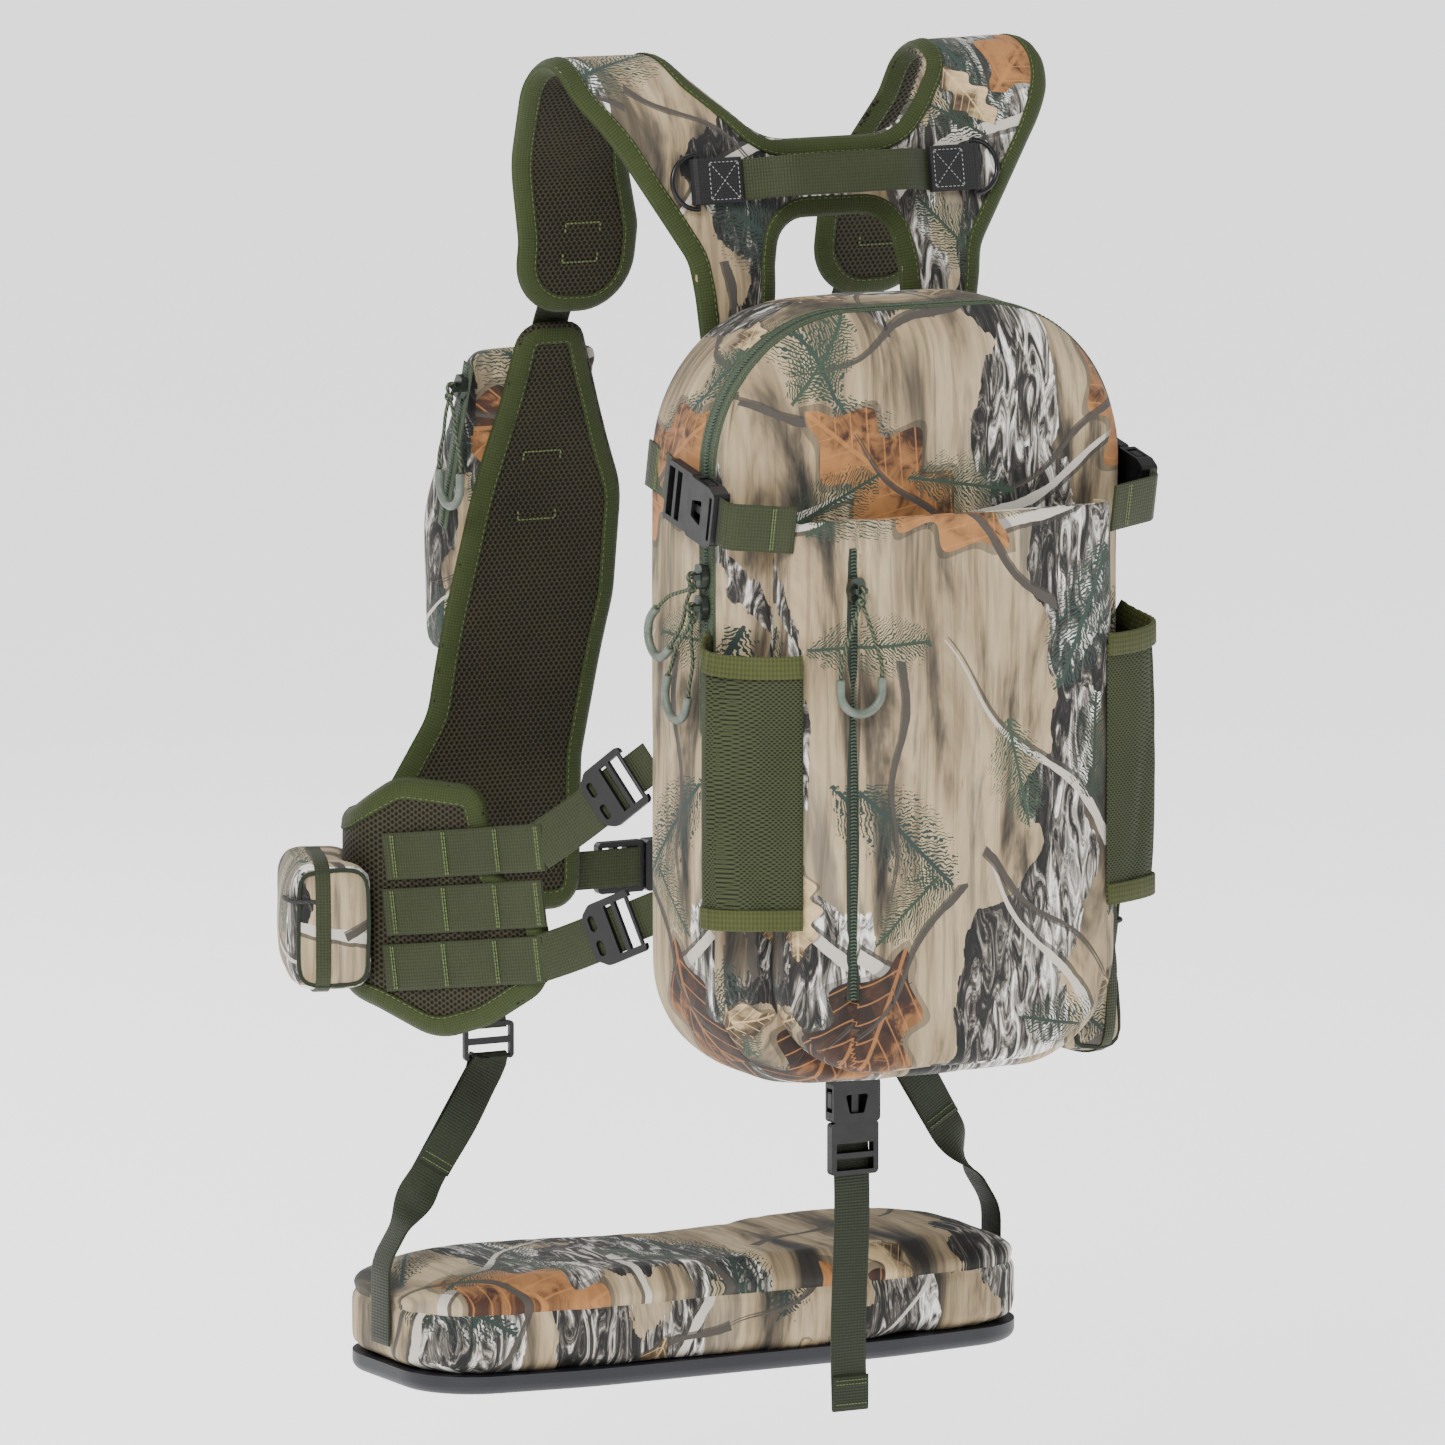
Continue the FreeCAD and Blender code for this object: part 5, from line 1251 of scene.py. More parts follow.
marks = []
for side in (-1, 1):
    marks += sewn_marks(yoke, bracket(side * 0.105, 0.247, 0.272, 0.012))
in_a_row("yoke_bar_tacks", marks, bar_stitch, green_thread, "pack")

# ---- Vest panels ----------------------------------------------------------------------------
# Long padded panels down the wearer's front: spacer mesh on the wearer's side, printed cloth
# outside, bound in green. Short bar tacks hold the foam where straps are sewn behind it.

vest_line = [(0.174, 0.210, 0), (0.208, 0.108, 0.260), (0.222, 0.0, 0.400), (0.222, -0.172, 0)]
on_vest = pad_surface(vest_line, "yz")
vest_share = puffed(0.022, 0.45)
for side, label in both_sides:
    panel, lines, half = pad_of(f"vest_pad_{label}", [f"vest_panel_{label}"], on_vest, vest_share, 0.0030,
                                print_on_yoke, brown_mesh)
    depths = [[f.center.y for f in panel.data.polygons if f.material_index == number] for number in (0, 1)]
    if sum(depths[0]) / len(depths[0]) < sum(depths[1]) / len(depths[1]):
        clothed(panel.data, brown_mesh, print_on_yoke)
    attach(panel, "pack")
    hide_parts(f"vest_panel_{label}")
    spots = bound(f"vest_binding_{label}", lines, on_vest, half, vest_share, 0.0115)
    tacks = sewn_marks(panel, bracket(side * 0.102, 0.078, 0.122, 0.013))
    in_a_row(f"vest_bar_tacks_{label}", tacks, bar_stitch, green_thread, "pack")
    in_a_row(f"vest_binding_stitches_{label}", spots, rim_stitch, green_thread, "pack")

# ---- Hip belt wings -------------------------------------------------------------------------
# Padded wings from the vest panels back along the hips, brown spacer mesh on both faces,
# bound in the same green tape.

wing_line = [(0.170, 0.062, 0), (0.252, 0.175, 0.040), (0.214, 0.231, 0.026), (0.168, 0.231, 0)]
right_of = pad_surface(wing_line, "xy")


def left_of(p):
    """The same for the left wing, which is the right one mirrored."""
    level, along, off, face = right_of(Vector((-p.x, p.y, p.z)))
    return level, along, off, Vector((-face.x, face.y, face.z))


wing_share = puffed(0.018, 0.5)
for side, label, on_wing in ((-1, "left", left_of), (1, "right", right_of)):
    wing, lines, half = pad_of(f"hip_wing_pad_{label}", [f"hip_wing_{label}"], on_wing, wing_share, 0.0028,
                               brown_mesh, brown_mesh)
    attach(wing, "pack")
    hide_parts(f"hip_wing_{label}")
    spots = bound(f"hip_wing_binding_{label}", lines, on_wing, half, wing_share, 0.0120)
    in_a_row(f"hip_wing_stitches_{label}", spots, rim_stitch, green_thread, "pack")

# ---- Haul handle, tabs and D-rings ----------------------------------------------------------
# Ribbed webbing grip that stands off the yoke. Black tabs cover its ends, each sewn in a box
# with a cross and rolled round the bar of a black wire D-ring.

webbing = ribbed_cloth("olive_webbing", (0.017, 0.0225, 0.0045), 0.0019, 0.0021, 0.62, 0.0006)
black_webbing = ribbed_cloth("black_webbing", (0.006, 0.006, 0.007), 0.0017, 0.0019, 0.6, 0.0005)
yoke_up = Vector((0, 0.17379, 0.98478))
yoke_out = Vector((0, -0.98478, 0.17379))
yoke_spot = Vector((0, 0.00982, 0.309))
handle_corners = [(-0.088, 0, 0), (-0.064, 0, 0.012), (-0.044, 0.022, 0.026),
                  (0.044, 0.022, 0.026), (0.064, 0, 0.012), (0.088, 0, 0)]
handle_path = [yoke_spot + Vector((a, 0, 0)) + yoke_out * (b + 0.0009)
               for a, b in evenly(rounded_points(handle_corners, closed=False), 70, closed=False)]
handle = strap("haul_handle_webbing", handle_path, yoke_up, 0.0255, 0.0024, webbing, "pack")
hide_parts("haul_handle")
tab_stitches = []
for side, label in both_sides:
    flat = [yoke_spot + Vector((side * (0.066 + 0.0285 * k / 12), 0, 0)) + yoke_out * 0.0030
            for k in range(13)]
    roll = []
    for k in range(1, 13):
        angle = math.pi * 1.25 * k / 14
        roll.append(yoke_spot + yoke_out * (0.0041 - 0.0029 * math.cos(angle)) +
                    Vector((side * (0.097 + 0.0029 * math.sin(angle)), 0, 0)))
    back = [p + yoke_out * 0.0023 for p in reversed(flat)]
    tab = strap(f"handle_tab_{label}", flat[:-1] + roll + back[2:], yoke_up, 0.0285, 0.0019, black_webbing,
                "pack")
    if side < 0:
        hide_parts("handle_tabs")
    corners = [(0.0685, -0.0115), (0.0885, -0.0115), (0.0885, 0.0115), (0.0685, 0.0115)]
    for start, end in ((0, 1), (1, 2), (2, 3), (3, 0), (0, 2), (1, 3)):
        (a, b), (c, d) = corners[start], corners[end]
        line = [yoke_spot + Vector((side * (a + (c - a) * k / 8), 0, 0)) + yoke_up * (b + (d - b) * k / 8) +
                yoke_out * 0.0064 for k in range(9)]
        tab_stitches += spaced(line, yoke_out, 0.0026)
grey_thread = thread_of("grey_thread", (0.30, 0.30, 0.29))
in_a_row("handle_tab_stitches", tab_stitches, (0.0019, 0.0006, 0.0006), grey_thread, "pack")


def coated_steel(name, base, scratch, rough):
    """Black-coated wire, rubbed paler where it is handled."""
    material, tree, shader = graph(name)
    rub = put(tree, "TexNoise", 0, _0=on_object(tree), Scale=220.0, Detail=5.0, Roughness=0.65)
    finish_of(tree, shader, shades(tree, rub, [(0.35, base), (0.68, base), (0.8, scratch)]), Metallic=0.7)
    gloss = shades(tree, rub, [(0.3, (rough,) * 3), (0.8, (rough * 0.6,) * 3)])
    tree.links.new(gloss, shader.inputs["Roughness"])
    raised(tree, shader, rub, 0.1, 0.0001)
    return material


def dressed(node_names, material):
    """Gives CAD pieces their finish."""
    for node in node_names:
        clothed(nodes[node].data, material)


ring_steel = coated_steel("ring_steel", (0.020, 0.020, 0.022), (0.10, 0.10, 0.10), 0.38)
dressed(["d_ring_left", "d_ring_right"], ring_steel)

# ---- Padded pouches -------------------------------------------------------------------------
# Soft boxes of printed cloth on the vest panels and on the belt's bends, padded and blown up
# a little by what they hold, with piped seams.


def blown(name, node_names, cell, shrink, cap, pressure=4.0, sides=1.0):
    """Cloth form of a CAD solid: remeshed fine, swollen by air pressure, no further than cap;
    sides is the share of that allowed level, where the cloth is held by stiff walls."""
    piece = welded(name, node_names)
    centre = sum((v.co for v in piece.data.vertices), Vector()) / len(piece.data.vertices)
    size = piece.dimensions
    for vertex in piece.data.vertices:
        vertex.co = centre + Vector(((vertex.co[i] - centre[i]) * (1 - 2 * shrink / max(size[i], 0.01))
                                     for i in range(3)))
    smoothed(remeshed(piece, cell))
    start = [v.co.copy() for v in piece.data.vertices]
    cloth = piece.modifiers.new("cloth", "CLOTH")
    cloth.settings.quality = 5
    cloth.settings.mass = 0.25
    cloth.settings.use_pressure = True
    cloth.settings.uniform_pressure_force = pressure
    cloth.settings.tension_stiffness = cloth.settings.compression_stiffness = 12
    cloth.settings.effector_weights.gravity = 0
    cloth.collision_settings.use_collision = False
    last_step = 20
    cloth.point_cache.frame_start, cloth.point_cache.frame_end = 1, last_step
    for step in range(1, last_step + 1):
        bpy.context.scene.frame_set(step)
    finished(piece)
    bpy.context.scene.frame_set(1)
    for vertex, before in zip(piece.data.vertices, start):
        move = vertex.co - before
        move.x, move.y = move.x * sides, move.y * sides
        vertex.co = before + (move.normalized() * cap if move.length > cap else move)
    fine = piece.modifiers.new("fine", "SUBSURF")
    fine.levels = fine.render_levels = 1
    finished(piece).data.shade_smooth()
    return piece


def laid_on(piece, ahead):
    """Lays the print on a box-like piece face by face; ahead is the way its front looks."""
    side = Vector((ahead.y, -ahead.x, 0))

    def rule(p, n):
        a, b = abs(n.dot(ahead)), abs(n.dot(side))
        if abs(n.z) > max(a, b) * 1.25:
            return p.dot(side), p.dot(ahead)
        return (p.dot(side), p.z) if a > b else (p.dot(ahead) + 0.4, p.z)

    mapped(piece, rule)


def wrapped(skin, centre, first, second, degrees, lift):
    """Line round a soft piece, found by looking in at it from a circle."""
    line = []
    for angle in map(math.radians, degrees):
        ray = first * math.cos(angle) + second * math.sin(angle)
        hit, normal, _, _ = skin.ray_cast(centre + ray * 0.2, -ray)
        if hit is not None:
            line.append(hit + normal * lift)
    return line


print_on_pouch = woodland_cloth("woodland_cloth_pouch", (2.11, 1.45))
piping_cloth = ribbed_cloth("dark_piping", (0.010, 0.016, 0.007), 0.0012, 0.0014, 0.75, 0.0003)
for side, label in both_sides:
    out, way = Vector((side * 0.94089, 0.33872, 0)), Vector((-side * 0.33872, 0.94089, 0))
    pouch = blown(f"vest_pouch_cloth_{label}", [f"vest_pouch_{label}"], 0.0052, 0.0025, 0.006)
    crumpled(pouch, 0.0018)
    laid_on(pouch, Vector((0, 1, 0)))
    clothed(pouch.data, print_on_pouch)
    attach(pouch, "pack")
    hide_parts(f"vest_pouch_{label}")
    hips = blown(f"hip_pouch_cloth_{label}", [f"hip_pouch_{label}"], 0.0046, 0.0022, 0.006)
    crumpled(hips, 0.0020)
    laid_on(hips, out)
    clothed(hips.data, print_on_pouch)
    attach(hips, "pack")
    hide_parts(f"hip_pouch_{label}")
    skin = skin_of(hips)
    top, deep = (-0.119, 0.085) if side < 0 else (-0.163, 0.123)
    corner, up = Vector((side * 0.252, 0.175, top - deep / 2)), Vector((0, 0, 1))
    line = wrapped(skin, corner + out * 0.020 + way * 0.012, -way, up, range(-118, 119, 4), 0.0007)
    strap(f"hip_pouch_band_{label}", line, out, 0.0095, 0.0014, webbing, "pack")
    ring = wrapped(skin, corner + out * 0.013 - way * 0.0235, out, up, range(0, 361, 5), 0.0004)
    strap(f"hip_pouch_piping_{label}", ring, way, 0.0026, 0.0024, piping_cloth, "pack")

# ---- Back pad -------------------------------------------------------------------------------
# Spacer mesh over foam against the wearer's back, sewn down in upright channels.

back_line = [(-0.012, -0.260, 0), (-0.012, 0.260, 0)]
on_back = pad_surface(back_line, "yz")


def channels(level, distance):
    """Depth of the sewn channels across the pad."""
    nearest = min(abs(abs(level) - 0.040), abs(abs(level) - 0.088))
    return 0.0034 * math.exp(-(nearest / 0.004) ** 2) if distance > 0.012 else 0.0


back_pad, _, _ = pad_of("back_pad_mesh", ["back_pad"], on_back, puffed(0.020, 0.6), 0.0034,
                        brown_mesh, brown_mesh, dimples=channels)
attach(back_pad, "pack")
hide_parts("back_pad")

# ---- Webbing rows and ladder locks ----------------------------------------------------------
# Three rows of webbing sewn down on each wing by bar tacks, leaving loops between them. The
# upper and lower rows run on, angled up, through the ladder locks that tie the belt to the bag.

row_starts = [(0.17647, 0.0573, level) for level in (-0.104, -0.139, -0.174)]
row_way, row_out = Vector((0.58294, 0.80332, -0.12187)), Vector((0.80936, -0.58732, 0.0))
locks = {"upper": (0, Vector((0.15, 0.013, -0.064)), Vector((-0.40546, -0.67847, 0.6126))),
         "lower": (2, Vector((0.15, 0.013, -0.151)), Vector((-0.46856, -0.78406, 0.40706)))}
lock_out = Vector((0.8584, -0.51298, 0.0))
row_tacks = []


def flipped(v, side):
    """A place or direction on the right side, mirrored for the left."""
    return Vector((v[0] * side, v[1], v[2]))


def line_across(middle, across, half):
    """Straight line of points over a strap's width."""
    return [middle + across * (half * (k / 6 - 1)) for k in range(13)]


for side, label in both_sides:
    out = flipped(row_out, side)
    way = flipped(row_way, side)
    across = out.cross(way).normalized()
    for number, start in enumerate(row_starts):
        start = flipped(start, side)
        line = []
        for k in range(56):
            along = 0.112 * k / 55
            lift = 0.0006 + 0.0013 * math.sin(math.pi * ((along + 0.004) % 0.036) / 0.036) ** 2
            line.append(start + way * (along - 0.001) + out * (0.0009 + lift))
        row = strap(f"belt_row_{number + 1}_{label}", line, across, 0.0295, 0.0018, webbing, "pack")
        if number == 0:
            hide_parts(f"molle_webbing_{label}")
        for k in range(4):
            place = start + way * (0.036 * k - 0.004 if k else 0.0035) + out * 0.0030
            for shift in (-0.0008, 0.0008):
                row_tacks += spaced(line_across(place + way * shift, across, 0.0135), out, 0.0021)
    lock_side = flipped(lock_out, side)
    for level, (number, centre, along) in locks.items():
        centre, along = flipped(centre, side), flipped(along, side)
        start = flipped(row_starts[number], side)
        wide = lock_side.cross(along).normalized()
        begin = start + out * 0.0015 + way * 0.004
        end = centre + along * 0.006 - lock_side * 0.0013
        sag = Vector((0, 0, (end - begin).length * 0.03))
        line = [begin.lerp(end, k / 24) - sag * math.sin(math.pi * (k / 24)) * 0.6 for k in range(25)]
        turned = -wide if across.dot(wide) < 0 else wide
        acrosses = [across.lerp(turned, min(1.0, k / 14)).normalized() for k in range(25)]
        strap(f"lock_strap_{level}_{label}", line, acrosses, 0.0295, 0.0018, webbing, "pack")
        under = lock_side * (0.0017 - 0.0032)
        tail = [centre + along * (0.0162 + 0.001 * k) + under - lock_side * 0.00012 * k for k in range(17)]
        strap(f"lock_tab_{level}_{label}", tail, wide, 0.0255, 0.0018, webbing, "pack")
in_a_row("belt_row_tacks", row_tacks, (0.0024, 0.0011, 0.0010), green_thread, "pack")


def moulded(name, base, pale, rough):
    """Moulded acetal: fine grain, faint scuffs scattered over it, satin gloss."""
    material, tree, shader = graph(name)
    where = on_object(tree)
    scuff = put(tree, "TexNoise", 0, _0=where, Scale=90.0, Detail=8.0, Roughness=0.7)
    fine = put(tree, "TexNoise", 0, _0=where, Scale=900.0, Detail=2.0)
    finish_of(tree, shader, shades(tree, scuff, [(0.3, base), (0.62, base), (0.78, pale)]))
    gloss = shades(tree, scuff, [(0.3, (rough,) * 3), (0.75, (rough * 1.5,) * 3)])
    tree.links.new(gloss, shader.inputs["Roughness"])
    raised(tree, shader, fine, 0.18, 0.00012)
    return material


black_acetal = moulded("black_acetal", (0.0012, 0.0013, 0.0018), (0.008, 0.009, 0.011), 0.40)
dressed([n for n in nodes if n.startswith(("ladder_lock", "compression_latch", "waist_latch", "keeper_latch",
                                           "keeper_socket", "keeper_plug", "buckle_", "seat_adjusters"))],
        black_acetal)
grey_board = moulded("frame_board", (0.03, 0.03, 0.032), (0.08, 0.08, 0.085), 0.5)
dressed(["frame_sheet"], grey_board)

# ---- Buckle straps --------------------------------------------------------------------------
# Flat olive webbing sewn down at one end and run through a buckle, lock or adjuster at the
# other: over the bag's sides, across the waist, below the bag and from yoke to vest.


def millimetres(corners):
    """Corner list of a strap's path, from millimetres to metres."""
    return [(a / 1000, b / 1000, r / 1000) for a, b, r in corners]


box_tacks = []


def tack_across(place, across, out, width):
    """A bar tack: two close rows of stitches across a strap."""
    way = across.cross(out).normalized()
    for shift in (-0.5, 0.5):
        box_tacks.extend(spaced(line_across(place + way * 0.0016 * shift, across, width * 0.44), out, 0.0020))


squeeze_way, squeeze_out = Vector((0, -0.97855, -0.20601)), Vector((1, 0, 0))
over_bag = millimetres([(-79.7, -8.9, 0), (-57, -8.9, 20), (-45, -6.3, 20), (-4, -6.3, 0)])
over_corner = millimetres([(33, 0.9, 0), (44, 0.2, 6), (58.6, -38.5, 0)])
for side, label in both_sides:
    middle = Vector((side * 0.149, -0.09, 0.125))
    out = squeeze_out * side
    across = squeeze_way.cross(out).normalized()
    for part, path in (("rear", over_bag), ("front", over_corner)):
        line = [middle + squeeze_way * p.x + out * p.z for p in on_line(path, 0.0, "xz")]
        piece = strap(f"compression_strap_{part}_{label}", line, across, 0.0298, 0.0017, webbing, "pack")
        if side < 0 and part == "rear":
            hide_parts("compression_webbing")
        end = line[3] if part == "rear" else line[-4]
        face = out if part == "rear" else Vector((side * 0.06, -1, 0)).normalized()
        tack_across(end + face * 0.0010, across, face, 0.030)
dark_webbing = ribbed_cloth("dark_olive_webbing", (0.010, 0.014, 0.0035), 0.0019, 0.0021, 0.62, 0.0006)
narrow, thickness = 0.0248, 0.0017
belt_y, belt_level = 0.2399, -0.153
waist_right = [Vector((0.023 + 0.175 * k / 40, belt_y - 0.0006 * math.sin(math.pi * k / 40), belt_level))
               for k in range(41)]
waist_left = [Vector((-0.198 + 0.184 * k / 40, belt_y, belt_level)) for k in range(41)]
belt = strap("waist_strap_right", waist_right, Vector((0, 0, 1)), narrow, thickness, webbing, "pack")
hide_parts("waist_webbing")
strap("waist_strap_left", waist_left, Vector((0, 0, 1)), narrow, thickness, webbing, "pack")
for x in (-0.186, -0.150, -0.112, 0.112, 0.150, 0.186):
    tack_across(Vector((x, 0.2408, belt_level)), Vector((0, 0, 1)), Vector((0, 1, 0)), narrow)
from_yoke = millimetres([(171.9, 251.2, 0), (177, 221, 20), (186, 206, 20), (191.4, 192, 0)])
to_seat = millimetres([(221.1, -132, 0), (221.1, -176, 30), (198.9, -236, 10), (198.4, -241, 0)])
sideways = Vector((1, 0, 0))
for side, label in both_sides:
    piece = strap(f"shoulder_strap_{label}", on_line(from_yoke, side * 0.105, "yz"), sideways, narrow,
                  thickness, dark_webbing, "pack")
    if side < 0:
        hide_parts("hanger_webbing")
    strap(f"seat_hanger_{label}", on_line(to_seat, side * 0.143, "yz"), sideways, narrow, thickness,
          dark_webbing, "pack")
stub_line = [Vector((0, -0.018, -0.2374 - 0.0086 * k / 5)) for k in range(6)]
stub = strap("keeper_stub", stub_line, sideways, narrow, thickness, dark_webbing, "keeper")
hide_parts("keeper_webbing")
tail_y, tail_end, fold = -0.0139, -0.4606, 0.0009
tail = [Vector((0.0012 * math.sin(math.pi * k / 22), tail_y - 0.0010 * math.sin(k / 44 * math.pi),
                -0.283 - 0.1775 * k / 44)) for k in range(45)]
tail += [Vector((0, tail_y - fold * (1 - math.cos(a)), tail_end - fold * math.sin(a)))
         for a in (math.pi * k / 6 for k in range(1, 7))]
tail += [Vector((0, -0.0158, tail_end + 0.0210 * k / 8)) for k in range(1, 9)]
strap("keeper_tail", tail, sideways, narrow, 0.0016, dark_webbing, "keeper")
in_a_row("strap_tacks", box_tacks, (0.0023, 0.0010, 0.0009), green_thread, "pack")
keeper_fold = []
for level in (-0.4425, -0.4450, -0.4575):
    keeper_fold += spaced([Vector((x / 1000, -0.0168, level)) for x in range(-11, 12)], front, 0.0022)
in_a_row("keeper_fold_tacks", keeper_fold, (0.0020, 0.0009, 0.0008), green_thread, "keeper")

# ---- Seat straps ----------------------------------------------------------------------------
# Each hangs from its adjuster's bar: flat with the spare end folded beside it, then turned a
# quarter, edge on, down to the end of the seat.

hang_y = 0.1993
start, bend = Vector((0.143, hang_y, -0.2622)), Vector((0.2192, hang_y, -0.384))
run = (bend - start).normalized()
flat_wide = run.cross(Vector((0, 1, 0))).normalized()
bar = Vector((0.143, hang_y, -0.2595))
hung, seat_tacks = [], []
for side, label in both_sides:
    line, wides = [], []
    for k in range(19):
        spare = start + run * (0.076 - 0.070 * k / 18) + Vector((0, -0.0020, 0))
        line.append(spare + Vector((0, -0.0026, 0)) * math.sin(math.pi * (1 - k / 18)) ** 2)
        wides.append(flat_wide)
    for k in range(13):
        angle = -0.35 + (math.pi + 0.7) * k / 12
        line.append(bar + Vector((0, -0.0028 * math.cos(angle), 0.0028 * math.sin(angle))))
        wides.append(sideways)
    for k in range(1, 21):
        line.append(start + run * (0.006 + 0.074 * k / 20))
        wides.append(flat_wide)
    for k in range(1, 17):
        share = k / 16
        quarter = share * share * (3 - 2 * share) * math.pi / 2
        line.append(start + run * (0.080 + 0.042 * share))
        wides.append(flat_wide * math.cos(quarter) + Vector((0, 1, 0)) * math.sin(quarter))
    twist_end = line[-1]
    corners = [(twist_end.x, twist_end.z, 0), (bend.x, bend.z, 0.030), (bend.x, -0.436, 0)]
    lower = on_line(corners, hang_y, "xz")
    line += lower[1:]
    wides += [Vector((0, 1, 0))] * (len(lower) - 1)
    line = [flipped(p, side) for p in line]
    wides = [flipped(w, side) for w in wides]
    hung.append(strap(f"seat_strap_{label}", line, wides, 0.0246, 0.0015, dark_webbing, "seat_hangers"))
    for offset in (0.0735, 0.0690):
        spot = flipped(start, side) + flipped(run, side) * offset + Vector((0, -0.0033, 0))
        seat_tacks += spaced(line_across(spot, flipped(flat_wide, side), 0.011), front, 0.0020)
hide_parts("seat_straps")
in_a_row("seat_strap_tacks", seat_tacks, (0.0022, 0.0010, 0.0008), green_thread, "seat_hangers")

# ---- Seat -----------------------------------------------------------------------------------
# Foam cushion in printed cloth: a crowned top panel seamed to a boxing strip, on a base of
# navy-black rubberised cloth that wraps under it.

print_on_seat = woodland_cloth("woodland_cloth_seat", (0.35, 2.27), 1.05)
cushion = blown("seat_cushion_cloth", ["seat_cushion"], 0.0060, 0.0012, 0.009, 3.0, 0.15)
seat_seam, seat_foot, strap_reach = -0.4105, -0.4488, 0.019
for vertex in cushion.data.vertices:
    p = vertex.co
    p.z = max(p.z, seat_foot)
    near_seam = math.exp(-((p.z - seat_seam) / 0.0028) ** 2)
    middle = Vector((0, 0.203, p.z))
    p += (middle - p).normalized() * 0.0022 * near_seam
    off_strap = abs(p.y - hang_y)
    if abs(p.x) > 0.205 and off_strap < strap_reach:
        pressed = min(1.0, (strap_reach - off_strap) / 0.006)
        p.x = math.copysign(min(abs(p.x), 0.2176 + (1 - pressed) * 0.006), p.x)
crumpled(cushion, 0.0012)


def on_boxing_strip(p, n):
    """The strip wraps round the outline."""
    if abs(n.y) > 0.45:
        return p.x * (1 if n.y < 0 else -1), p.z
    return p.y + (0.9 if p.x > 0 else 1.4), p.z


mapped(cushion, on_boxing_strip)
layer = cloth_layer(cushion.data)
for face in cushion.data.polygons:
    if face.center.z > seat_seam:
        for loop in face.loop_indices:
            p = cushion.data.vertices[cushion.data.loops[loop].vertex_index].co
            layer.data[loop].uv = (p.x, p.y + 0.6)
clothed(cushion.data, print_on_seat)
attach(cushion, "seat")
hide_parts("seat_cushion")
rubberised, tree, shader = graph("navy_rubberised_cloth")
where = on_object(tree)
dots = put(tree, "TexVoronoi", 0, _0=where, Scale=420.0, Randomness=0.15)
fade = put(tree, "TexNoise", 0, _0=where, Scale=14.0, Detail=5.0)
finish_of(tree, shader, shades(tree, fade, [(0.3, (0.0022, 0.0026, 0.006)), (0.7, (0.005, 0.006, 0.011))]),
          Roughness=0.52)
raised(tree, shader, dots, 0.35, 0.0003)
dressed(["seat_base"], rubberised)

# ---- Zipper sliders and pulls ---------------------------------------------------------------
# Painted zinc sliders on every zipper. Each pull is a doubled cord looped through the slider's
# crown and knotted, with its two legs moulded into a bent, ribbed rubber grip.

slider_paint = coated_steel("slider_paint", (0.045, 0.055, 0.045), (0.22, 0.22, 0.20), 0.34)
dressed([n for n in nodes if n.endswith("_slider") or n.startswith("vest_slider")], slider_paint)
cord_green, tree, shader = graph("pull_cord")
uv = on_cloth(tree)
left_hand = put(tree, "TexWave", 1, settings={"bands_direction": "DIAGONAL"}, _0=uv, Scale=150.0,
                Distortion=0.0)
fluff = put(tree, "TexNoise", 0, _0=on_object(tree), Scale=500.0, Detail=3.0)
finish_of(tree, shader, shades(tree, left_hand, [(0.2, (0.012, 0.018, 0.009)), (0.6, (0.040, 0.055, 0.026)),
                                                 (0.9, (0.085, 0.105, 0.055))]), Roughness=0.75)
raised(tree, shader, add(left_hand, times(fluff, 0.4)), 0.7, 0.0004)
rubber, tree, shader = graph("pull_rubber")
mottle = put(tree, "TexNoise", 0, _0=on_object(tree), Scale=130.0, Detail=5.0)
finish_of(tree, shader, shades(tree, mottle, [(0.3, (0.070, 0.088, 0.068)), (0.7, (0.125, 0.148, 0.115))]),
          Roughness=0.48)
raised(tree, shader, mottle, 0.15, 0.0002)


def tube(name, line, radii, sides=12):
    """Closed round tube along points, with one radius for each point."""
    verts, runs, run, wide = [], [], 0.0, None
    for index, place in enumerate(line):
        ahead = way_at(line, index).normalized()
        if wide is None:
            wide = ahead.orthogonal().normalized()
        wide = (wide - ahead * wide.dot(ahead)).normalized()
        other = ahead.cross(wide)
        if index:
            run += (place - line[index - 1]).length
        runs.append(run)
        for turn in (2 * math.pi * k / sides for k in range(sides)):
            verts.append(tuple(place + (wide * math.cos(turn) + other * math.sin(turn)) * radii[index]))
    faces = faces_between(len(line), sides, True)
    faces += [tuple(reversed(range(sides))), tuple((len(line) - 1) * sides + k for k in range(sides))]
    mesh = bpy.data.meshes.new(name)
    mesh.from_pydata(verts, [], faces)
    layer = cloth_layer(mesh)
    for face in mesh.polygons:
        at_join = len(face.vertices) == 4 and any(v % sides == sides - 1 for v in face.vertices)
        for loop in face.loop_indices:
            ring, corner = divmod(mesh.loops[loop].vertex_index, sides)
            turn = 1.0 if at_join and corner == 0 else corner / sides
            layer.data[loop].uv = (runs[ring], turn * 2 * math.pi * radii[ring])
    rounded_off(mesh)
    return mesh


def joined(name, parts):
    """One object from (mesh, material) parts."""
    whole = bmesh.new()
    target = bpy.data.meshes.new(name)
    for number, (mesh, material) in enumerate(parts):
        for face in mesh.polygons:
            face.material_index = number
        whole.from_mesh(mesh)
        target.materials.append(material)
        bpy.data.meshes.remove(mesh)
    whole.to_mesh(target)
    whole.free()
    return shown(name, target)


cord_radius, grip_radius, grip_end = 0.0012, 0.00275, 0.0075
knot_middle = Vector((0, 0, -0.0065))
crown_gap, leg_reach, bend_level = 0.0106, 0.01425, -0.061


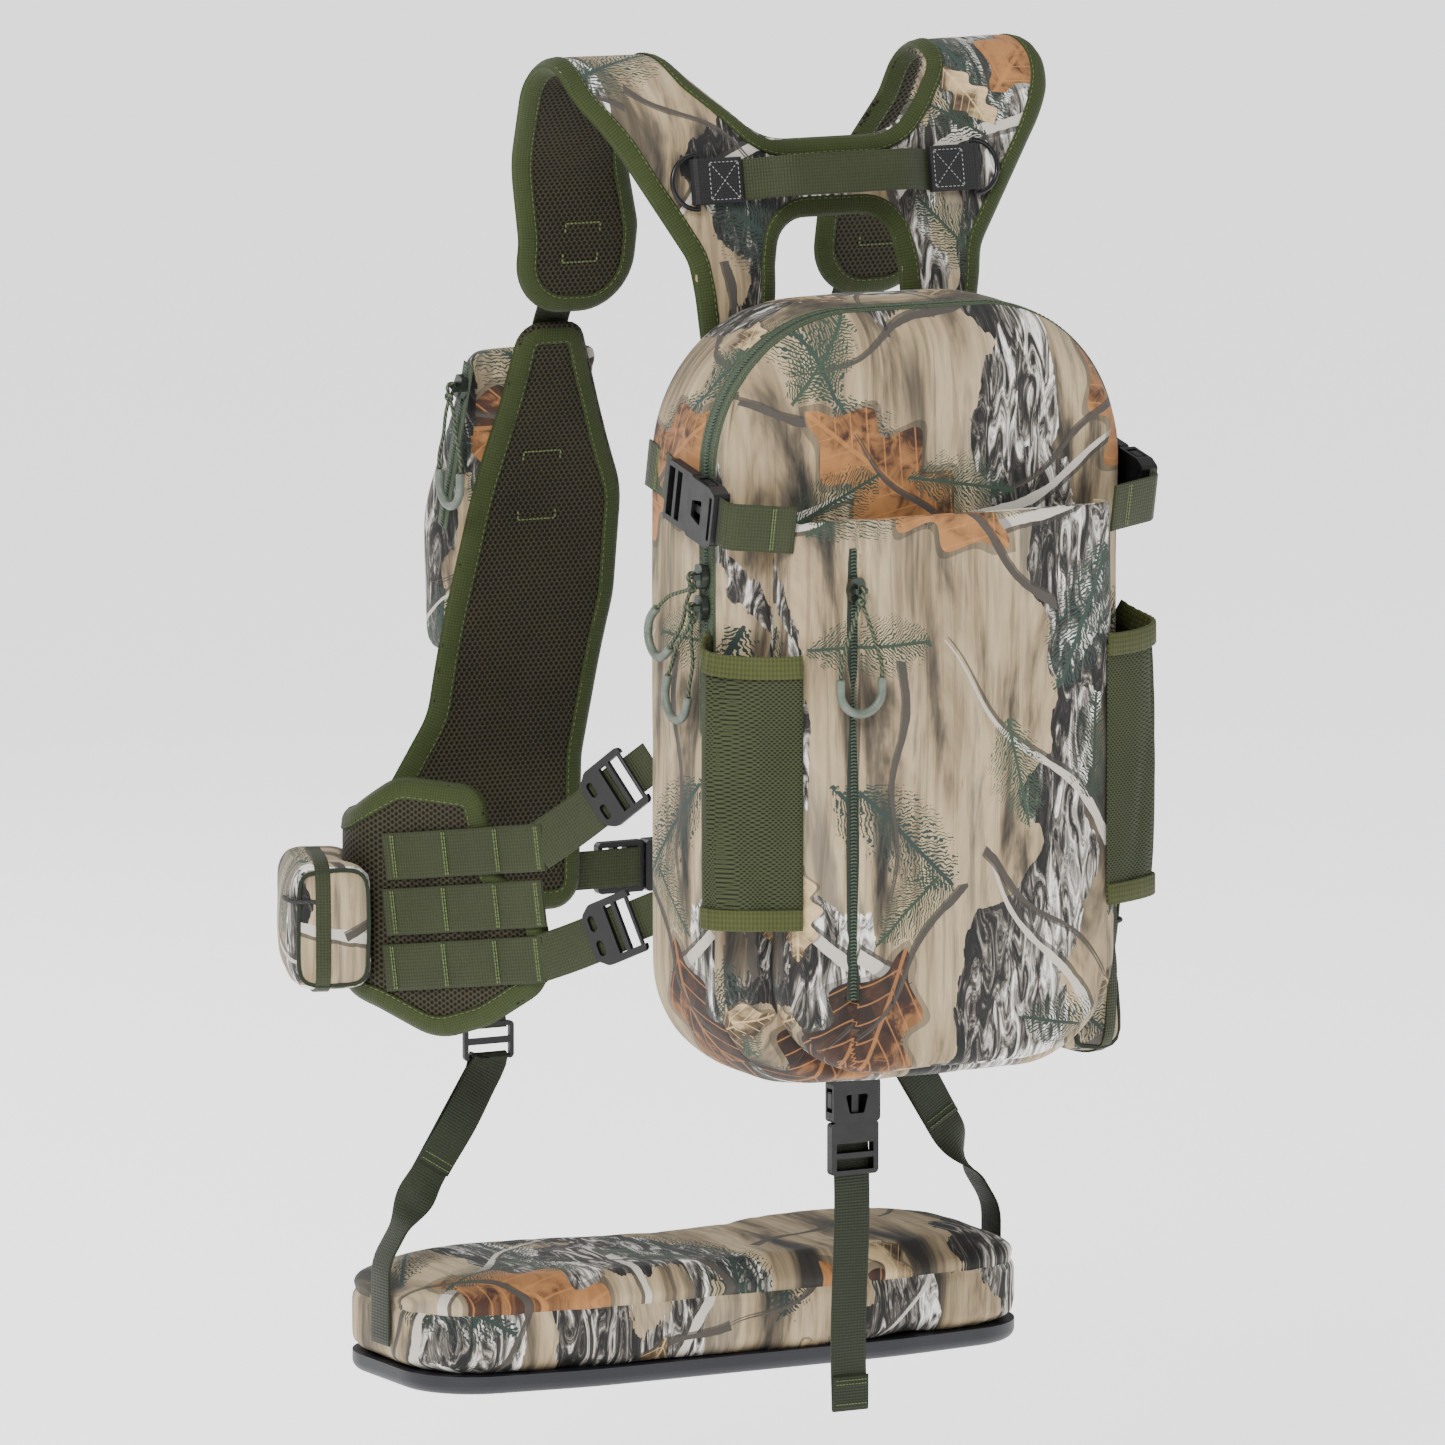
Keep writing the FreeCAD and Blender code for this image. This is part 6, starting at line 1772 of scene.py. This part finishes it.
def pull_at(node, point, down, outward, splay, side=1):
    """Cord loop, knot, legs and grip hanging from a slider's crown."""
    crown = point + outward * crown_gap
    up = -down
    sideways = up.cross(outward)
    cosine, sine = math.cos(math.radians(splay)), math.sin(math.radians(splay))

    def there(x, y, z, turned=True):
        if turned:
            dy, dz = y - knot_middle.y, z - knot_middle.z
            y, z = knot_middle.y + dy * cosine - dz * sine, knot_middle.z + dy * sine + dz * cosine
        return flipped(crown + outward * x + sideways * y + up * z, side)

    loop = [there(-0.0012, 0, -0.0052, False)]
    for k in range(25):
        t = k / 24
        reach = 0.0025 + 0.0003 * math.sin(math.pi * t)
        angle = math.pi * 1.22 - math.pi * 1.44 * t
        loop.append(there(reach * math.cos(angle), 0.0, reach * math.sin(angle), False))
    loop.append(there(0.0012, 0, -0.0052, False))
    parts = [(tube(node + "_loop", loop, [cord_radius] * len(loop)), cord_green)]
    knot = []
    for k in range(49):
        t = 2 * math.pi * k / 48
        knot.append(there(0.00082 * (math.sin(t) + 2 * math.sin(2 * t)) * 0.75,
                          0.00082 * (math.cos(t) - 2 * math.cos(2 * t)),
                          knot_middle.z - 0.0016 * math.sin(3 * t) * 0.9))
    parts.append((tube(node + "_knot", knot, [cord_radius * 1.05] * len(knot)), cord_green))
    for sign in (-1, 1):
        leg = []
        for k in range(25):
            t = k / 24
            spread = 0.0009 + (leg_reach - 0.0009) * math.sin(t * math.pi / 2) ** 1.15
            leg.append(there(0.0006 * math.sin(3 * math.pi * t) * sign, sign * spread,
                             knot_middle.z - 0.002 + (bend_level + 0.009 - knot_middle.z) * t))
        uneven = [cord_radius * (1 + 0.04 * math.sin(k * 2.4)) for k in range(25)]
        parts.append((tube(node + "_leg", leg, uneven), cord_green))
    grip, radii, half_turn = [], [], math.pi * leg_reach
    for k in range(97):
        t = k / 96
        along = t * (2 * grip_end + half_turn)
        if along < grip_end:
            spot = (0.0, -leg_reach, bend_level + grip_end - along)
        elif along > grip_end + half_turn:
            spot = (0.0, leg_reach, bend_level + along - grip_end - half_turn)
        else:
            angle = math.pi + (along - grip_end) / leg_reach
            spot = (0.0, leg_reach * math.cos(angle), bend_level + leg_reach * math.sin(angle))
        grip.append(there(*spot))
        ribbed = 0.94 + 0.06 * abs(math.sin(24 * math.pi * t)) ** 0.5 if 0.10 < t < 0.90 else 1.0
        mouth = {0: 0.80, 1: 0.95, 95: 0.95, 96: 0.80}.get(k, 1.0)
        radii.append(grip_radius * ribbed * mouth)
    parts.append((tube(node + "_grip", grip, radii, 14), rubber))
    piece = joined(node + "_cord", parts)
    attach(piece, node)
    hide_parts(node)


straight_down = Vector((0, 0, -1))
pull_at("main_upper_pull", Vector((-0.140, -0.089, 0.080)), straight_down, Vector((-1, 0, 0)), -52)
pull_at("main_lower_pull", Vector((-0.140, -0.089, 0.061)), straight_down, Vector((-1, 0, 0)), -22)
pull_at("stash_pull", Vector((-0.072, -0.150, 0.075)), straight_down, front, 0)
vest_lean = math.degrees(math.atan2(vest_down.y, -vest_down.z))
for side, label in both_sides:
    pull_at(f"vest_pull_{label}", vest_start + vest_down * 0.015, vest_down, sideways, -vest_lean, side)
